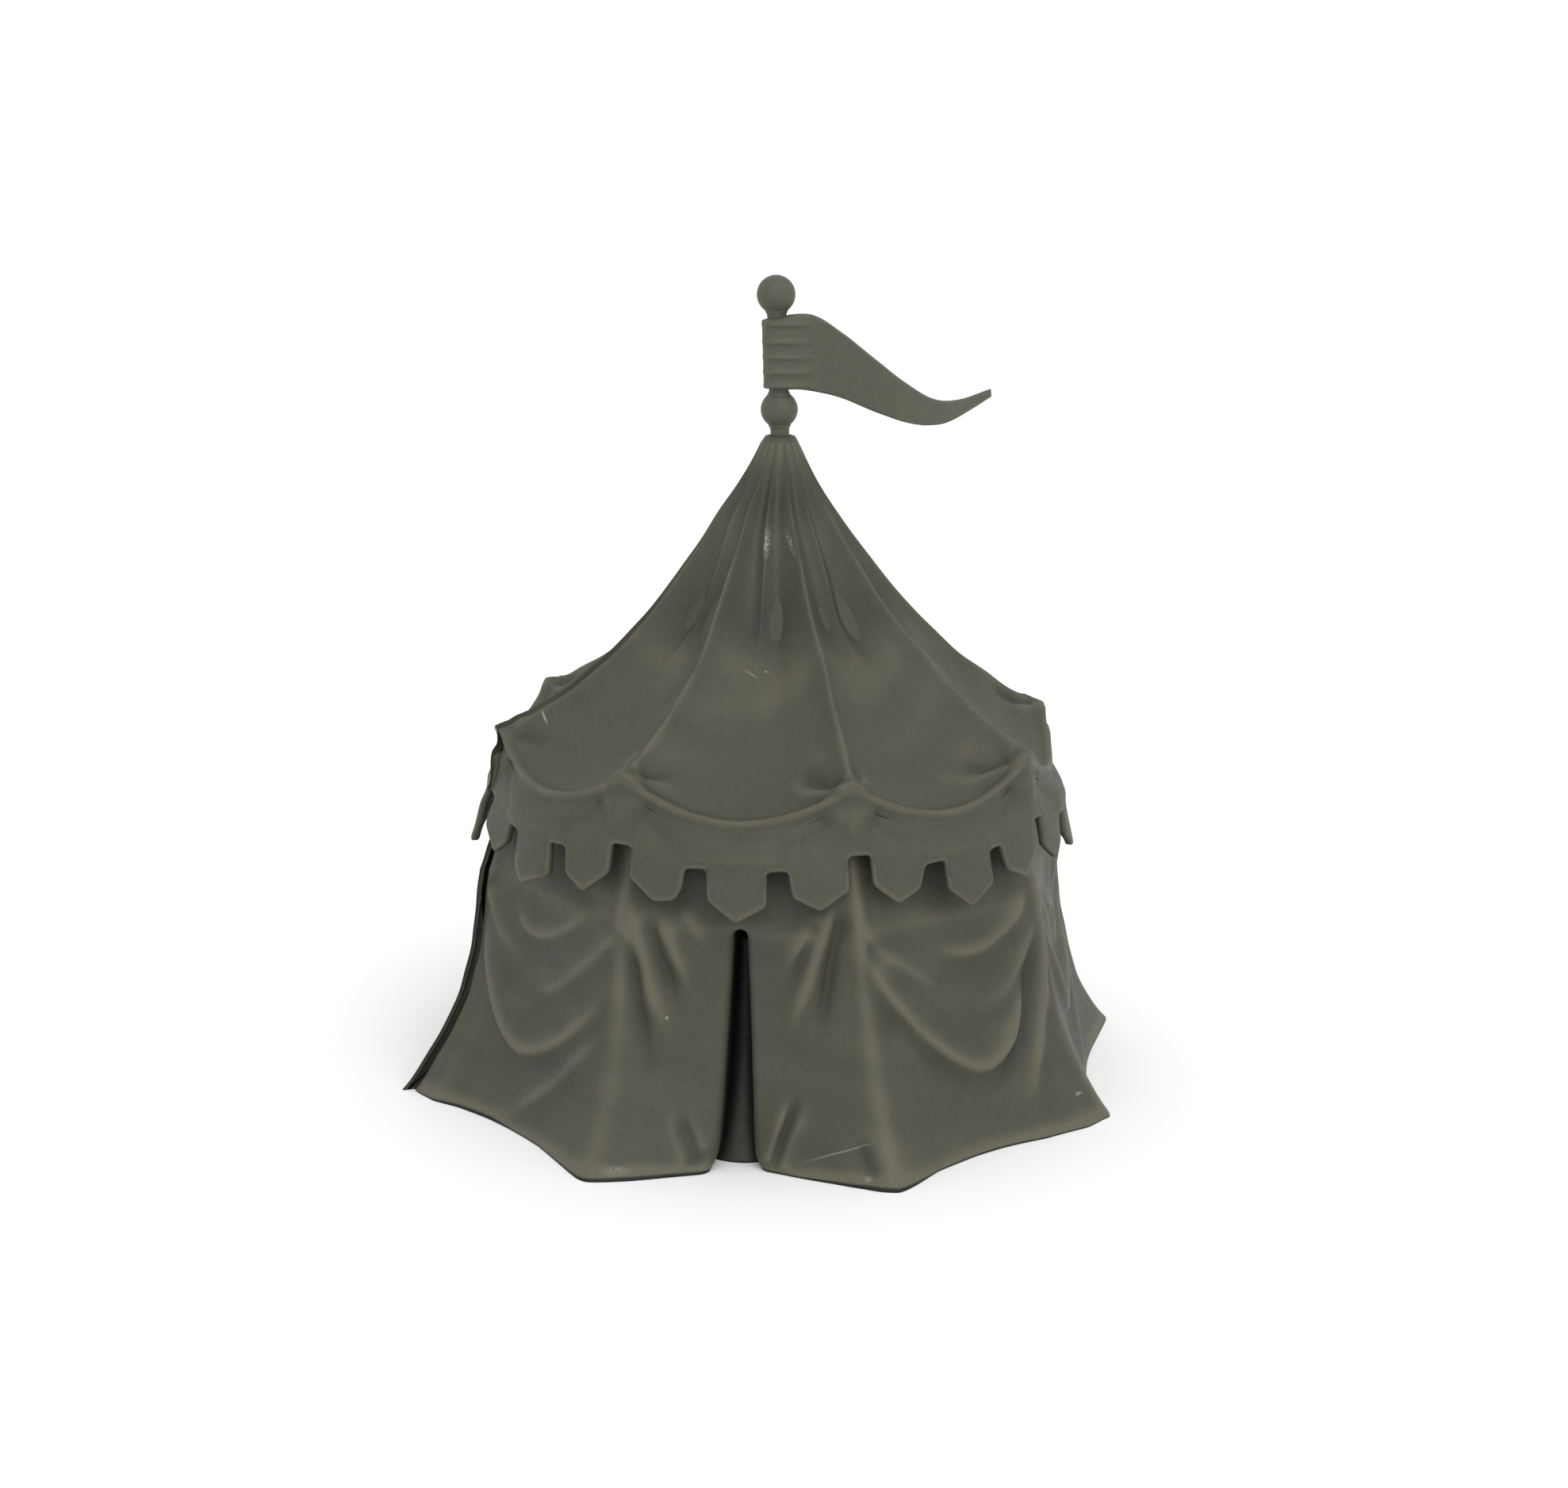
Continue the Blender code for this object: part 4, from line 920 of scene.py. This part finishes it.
    faces = [quads(left), quads(right)]
    for part, outerEnd in ((left, 0), (right, -1)):
        column = part[:, outerEnd]
        caps = endCap(column, total)
        faces += caps if outerEnd == 0 else [f[:, ::-1] for f in caps]
    for part, innerEnd in ((left, -1), (right, 0)):
        caps = endCap(part[:, innerEnd], slitRows + 1)
        faces += [f[:, ::-1] for f in caps] if innerEnd == -1 else caps
    return makePiece(name, np.concatenate(points), faces, cloth, replaced, np.concatenate(wearAndPaintedLightLists))


doorFront("wall_front_half", (seam["left"] + gap, seam["right"] - gap), (190, 280), [
    "wall_front_left", "door_leaf_left", "door_leaf_right", "door_head", "wall_front_right", "wall_right"])


def innerCurtain():
    # a curved strip behind the slit that narrows upward: share across and height, its section a flat arc
    v = doorValues
    count = 28
    share = np.linspace(-1, 1, count)
    height = np.linspace(0, v["curtainTop"], 60)[:, None]
    radius = wallSheet(np.zeros_like(height), height)[0]
    left = np.arcsin((slitEdge(-1, height) - 1.2) / radius)
    right = np.arcsin((slitEdge(1, height) + 1.2) / radius)
    azimuth = (left + right) / 2 + (right - left) / 2 * share
    face = radius - recess(height) - 0.1 - 1.3 * share ** 2 + 0.1 * np.sin(height / 2.4)
    grids = [place(azimuth, face - depth, height + 0 * share) for depth in (0, v["curtainThickness"])]
    loop = np.concatenate([grids[0], grids[1][::-1]])
    # painted shade: dim low down in the middle, and black towards its borders and its top
    shade = -1.2 - 0.8 * smoothStep(0.25, 0.75, np.abs(share) + height / 26)
    wearAndPaintedLight = np.concatenate([shade, shade[::-1]])
    return makePiece(
        "curtain_behind_doorway", loop, shellFaces(len(loop), count), cloth, ["inner_curtain"], wearAndPaintedLight)


innerCurtain()


# Pole, balls and pennant, turned towards the pennant and leaning a little away from it

poleValues = {
    "turn": math.radians(8.0), "lean": math.radians(2.33), "pivot": 95.4, "radius": 1.38, "foot": 93.0,
    "lowerBall": (100.33, 2.74), "topBall": (117.05, 2.83), "sleeveRadius": 2.2,
}


def onPole(points):
    # lean about the pivot away from the pennant, then turn about the axis
    v = poleValues
    lean, turn = -v["lean"], v["turn"]
    x, y, z = points[..., 0], points[..., 1], points[..., 2] - v["pivot"]
    leaned = np.stack([x * math.cos(lean) + z * math.sin(lean), y, z * math.cos(lean) - x * math.sin(lean) + v["pivot"]], -1)
    x, y = leaned[..., 0].copy(), leaned[..., 1].copy()
    leaned[..., 0] = x * math.cos(turn) - y * math.sin(turn)
    leaned[..., 1] = x * math.sin(turn) + y * math.cos(turn)
    return leaned


def turnedPiece(name, profile, replaced, steps=72):
    # (radius, height) profile spun round the pole's axis; both ends lie on the axis
    profile = np.asarray(profile)
    angle = np.arange(steps) * 2 * math.pi / steps
    ring = profile[1:-1]
    grid = np.stack(np.broadcast_arrays(ring[:, :1] * np.cos(angle), ring[:, :1] * np.sin(angle), ring[:, 1:]), -1)
    points = np.concatenate([grid.reshape(-1, 3), [[0, 0, profile[0, 1]], [0, 0, profile[-1, 1]]]])
    faces = [gridFaces(len(ring), steps, wrapColumns=True)]
    base = np.arange(steps)
    low, high = len(points) - 2, len(points) - 1
    top = (len(ring) - 1) * steps
    faces.append(np.stack([np.full(steps, low), base, np.roll(base, -1)], 1))
    faces.append(np.stack([np.full(steps, high), top + np.roll(base, -1), top + base], 1))
    wearAndPaintedLight = np.zeros(len(points))
    # both fans must turn the same way as the quads
    faces[1] = faces[1][:, ::-1]
    faces[2] = faces[2][:, ::-1]
    return makePiece(name, onPole(points), faces, poleLighterPlastic, replaced, wearAndPaintedLight)


def ballProfile(centre, radius):
    # a circle; the little fillet where it meets the pole is on the pole's own profile
    angle = np.linspace(0, math.pi, 40)
    return np.stack([radius * np.sin(angle), centre - radius * np.cos(angle)], 1)


def poleProfile():
    v = poleValues
    z = np.linspace(v["foot"], 115.5, 120)
    r = np.full(z.shape, v["radius"])
    for centre, radius in (v["lowerBall"], v["topBall"]):
        away = np.abs(z - centre) - math.sqrt(radius ** 2 - v["radius"] ** 2)
        r = r + 0.3 * np.exp(-np.clip(away, 0, None) / 0.25) * (away > -0.5)
    profile = np.stack([r, z], 1)
    return np.vstack([[0, z[0]], profile, [0, z[-1]]])


turnedPiece("pole", poleProfile(), ["flagpole"])
turnedPiece("ball_under_pennant", ballProfile(*poleValues["lowerBall"]), ["lower_ball"])
turnedPiece("ball_on_top", ballProfile(*poleValues["topBall"]), ["top_ball"])

pennantValues = {
    "top": [(-2.2, 113.4), (0, 113.8), (5.1, 114.0), (9.4, 111.4), (13.8, 107.8), (18.7, 103.8), (22.8, 101.2), (26.7, 100.9), (31.2, 102.2)],
    "bottom": [(-2.2, 103.5), (0, 103.3), (3.0, 103.2), (6.3, 102.6), (9.5, 101.7), (14.2, 99.7), (19.4, 97.9), (22.9, 97.5), (25.4, 98.0), (28.6, 99.6), (31.3, 101.2)],
    "pleats": [112.9, 110.3, 108.1, 105.9, 103.9],
    "thickness": 1.1,
}


def pennantPiece():
    # section loop in plan, front side then back side, round the pole and out along the pennant, for each share up
    v, w = pennantValues, poleValues
    def edgeLine(points):
        curve = throughPoints(points, 200)
        return lambda along: np.interp(along, curve[:, 0], curve[:, 1])
    topLine, bottomLine = edgeLine(v["top"]), edgeLine(v["bottom"])
    around = np.linspace(math.pi, math.pi / 2, 16)
    along = np.concatenate([w["sleeveRadius"] * np.cos(around), np.linspace(0, 31.3, 150)[1:]])
    thin = v["thickness"] / 2 * (1 - 0.3 * along / 31)
    tube = np.sqrt(np.clip(w["sleeveRadius"] ** 2 - np.clip(along, None, 0) ** 2, 0, None))
    half = np.where(along < 0, tube, thin + (w["sleeveRadius"] - thin) * (1 - smoothStep(0.3, 6.5, along)))
    half = half * np.sqrt(np.clip((31.45 - along) / 1.2, 0, 1))
    wave = -1.6 * smoothStep(3, 17.5, along) + 3.6 * smoothStep(16.5, 31, along) + 0.25 * np.exp(-((along - 17.5) / 1.0) ** 2) * -1
    up = np.concatenate([[0, 0.004, 0.014, 0.03], np.linspace(0.05, 0.95, 60), [0.97, 0.986, 0.996, 1]])[:, None]
    low, high = bottomLine(along), topLine(along)
    z = low + (high - low) * up
    span = high - low
    edgeAway = np.minimum(up, 1 - up) * span
    roundEdge = np.sqrt(np.clip(1 - (1 - np.clip(edgeAway / 0.45, 0, 1)) ** 2, 0, 1))
    pleat = np.zeros(z.shape)
    for height in v["pleats"]:
        drop = 0.05 * np.clip(along, 0, None)
        pleat += 0.34 * np.exp(-((z - height + drop) / 0.42) ** 2)
    pleat = (pleat - 0.12) * (1 - smoothStep(2.5, 6.0, along))
    side = half * (0.35 + 0.65 * roundEdge) + pleat * roundEdge
    side[:, 0] = 0
    tilt = 0.5 * (up - 0.5) * smoothStep(8, 24, along)
    grow = 1 + np.clip(pleat, 0, None) * (along < 0) * 0.12
    frontSide = np.stack(np.broadcast_arrays(along * grow, wave + tilt * 2 - side, z), -1)
    backSide = np.stack(np.broadcast_arrays(along * grow, wave + tilt * 2 + side, z), -1)
    loop = np.concatenate([frontSide[:, ::-1], backSide[:, 1:]], axis=1)
    rows, columns = loop.shape[:2]
    number = np.arange(rows * columns).reshape(rows, columns)
    faces = [gridFaces(rows, columns, wrapColumns=True)]
    count = len(along)
    for row, flip in ((0, 1), (rows - 1, 0)):
        a = number[row, :count][::-1]
        b = np.concatenate([number[row, count - 1:count], number[row, count:]])
        quads = np.stack([a[:-1], a[1:], b[1:], b[:-1]], 1)
        faces.append(quads[:, ::-1] if flip else quads)
    # paler on the sleeve's pleat ridges (rubbed wear and painted highlight) and along the top and bottom edges (painted
    # highlight)
    wearAndPaintedLight = np.clip(pleat, 0, 1).repeat(1, axis=1) * 0.9 + 0.35 * np.exp(-(edgeAway / 0.35) ** 2)
    wearAndPaintedLight = np.concatenate([wearAndPaintedLight[:, ::-1], wearAndPaintedLight[:, 1:]], axis=1)
    return makePiece("pennant_and_sleeve", onPole(loop), faces, poleLighterPlastic, ["pennant", "pennant_sleeve"], wearAndPaintedLight)


pennantPiece()
print("tent complete")


# Floor, lights and camera

stageValues = {
    "floor": (0.88, 0.88, 0.88), "world": (1.0, 1.0, 1.0), "worldStrength": 1.06,
    "key": 1.1, "keySize": 60, "keySide": 30, "keyHeight": 45,
    "cameraPlace": (55.67, -392.47, 149.56), "cameraAim": (-0.13327, 0.96046, -0.24446), "roll": 0.82,
    "lens": 3401 / 1977 * 36,
}


def floorAndWorld():
    v = stageValues
    material = bpy.data.materials.new("pale_floor")
    material.use_nodes = True
    shader = material.node_tree.nodes["Principled BSDF"]
    setInput(shader, "Base Color", (*v["floor"], 1))
    setInput(shader, "Roughness", 0.9)
    mesh = bpy.data.meshes.new("floor")
    mesh.from_pydata([(-4, -3, 0), (4, -3, 0), (4, 6, 0), (-4, 6, 0)], [], [(0, 1, 2, 3)])
    mesh.materials.append(material)
    floor = bpy.data.objects.new("floor", mesh)
    bpy.context.scene.collection.objects.link(floor)
    world = bpy.data.worlds.new("studio")
    bpy.context.scene.world = world
    world.use_nodes = True
    shade = world.node_tree.nodes["Background"]
    setInput(shade, "Color", (*v["world"], 1))
    setInput(shade, "Strength", v["worldStrength"])


def softKey():
    # a broad distant light, keySide degrees to the right of the front and keyHeight above level
    v = stageValues
    light = bpy.data.lights.new("soft_key", "SUN")
    light.energy, light.angle = v["key"], math.radians(v["keySize"])
    side, up = math.radians(v["keySide"]), math.radians(v["keyHeight"])
    source = Vector((math.sin(side) * math.cos(up), -math.cos(side) * math.cos(up), math.sin(up)))
    thing = bpy.data.objects.new("soft_key", light)
    thing.rotation_euler = source.to_track_quat("Z", "Y").to_euler()
    bpy.context.scene.collection.objects.link(thing)


def photoCamera():
    v = stageValues
    data = bpy.data.cameras.new("camera")
    data.lens, data.sensor_width, data.sensor_fit = v["lens"], 36, "HORIZONTAL"
    data.clip_start, data.clip_end = 0.01, 50
    camera = bpy.data.objects.new("camera", data)
    aim = Vector(v["cameraAim"]).normalized()
    right = aim.cross(Vector((0, 0, 1))).normalized()
    up = right.cross(aim)
    roll = math.radians(v["roll"])
    rolledRight = right * math.cos(roll) + up * math.sin(roll)
    rolledUp = up * math.cos(roll) - right * math.sin(roll)
    turn = Matrix((rolledRight, rolledUp, -aim)).transposed().to_4x4()
    camera.matrix_world = Matrix.Translation(Vector(v["cameraPlace"]) * mm) @ turn
    bpy.context.scene.collection.objects.link(camera)
    bpy.context.scene.camera = camera


floorAndWorld()
softKey()
photoCamera()
bpy.context.scene.view_settings.view_transform = "Standard"
print("stage ready")
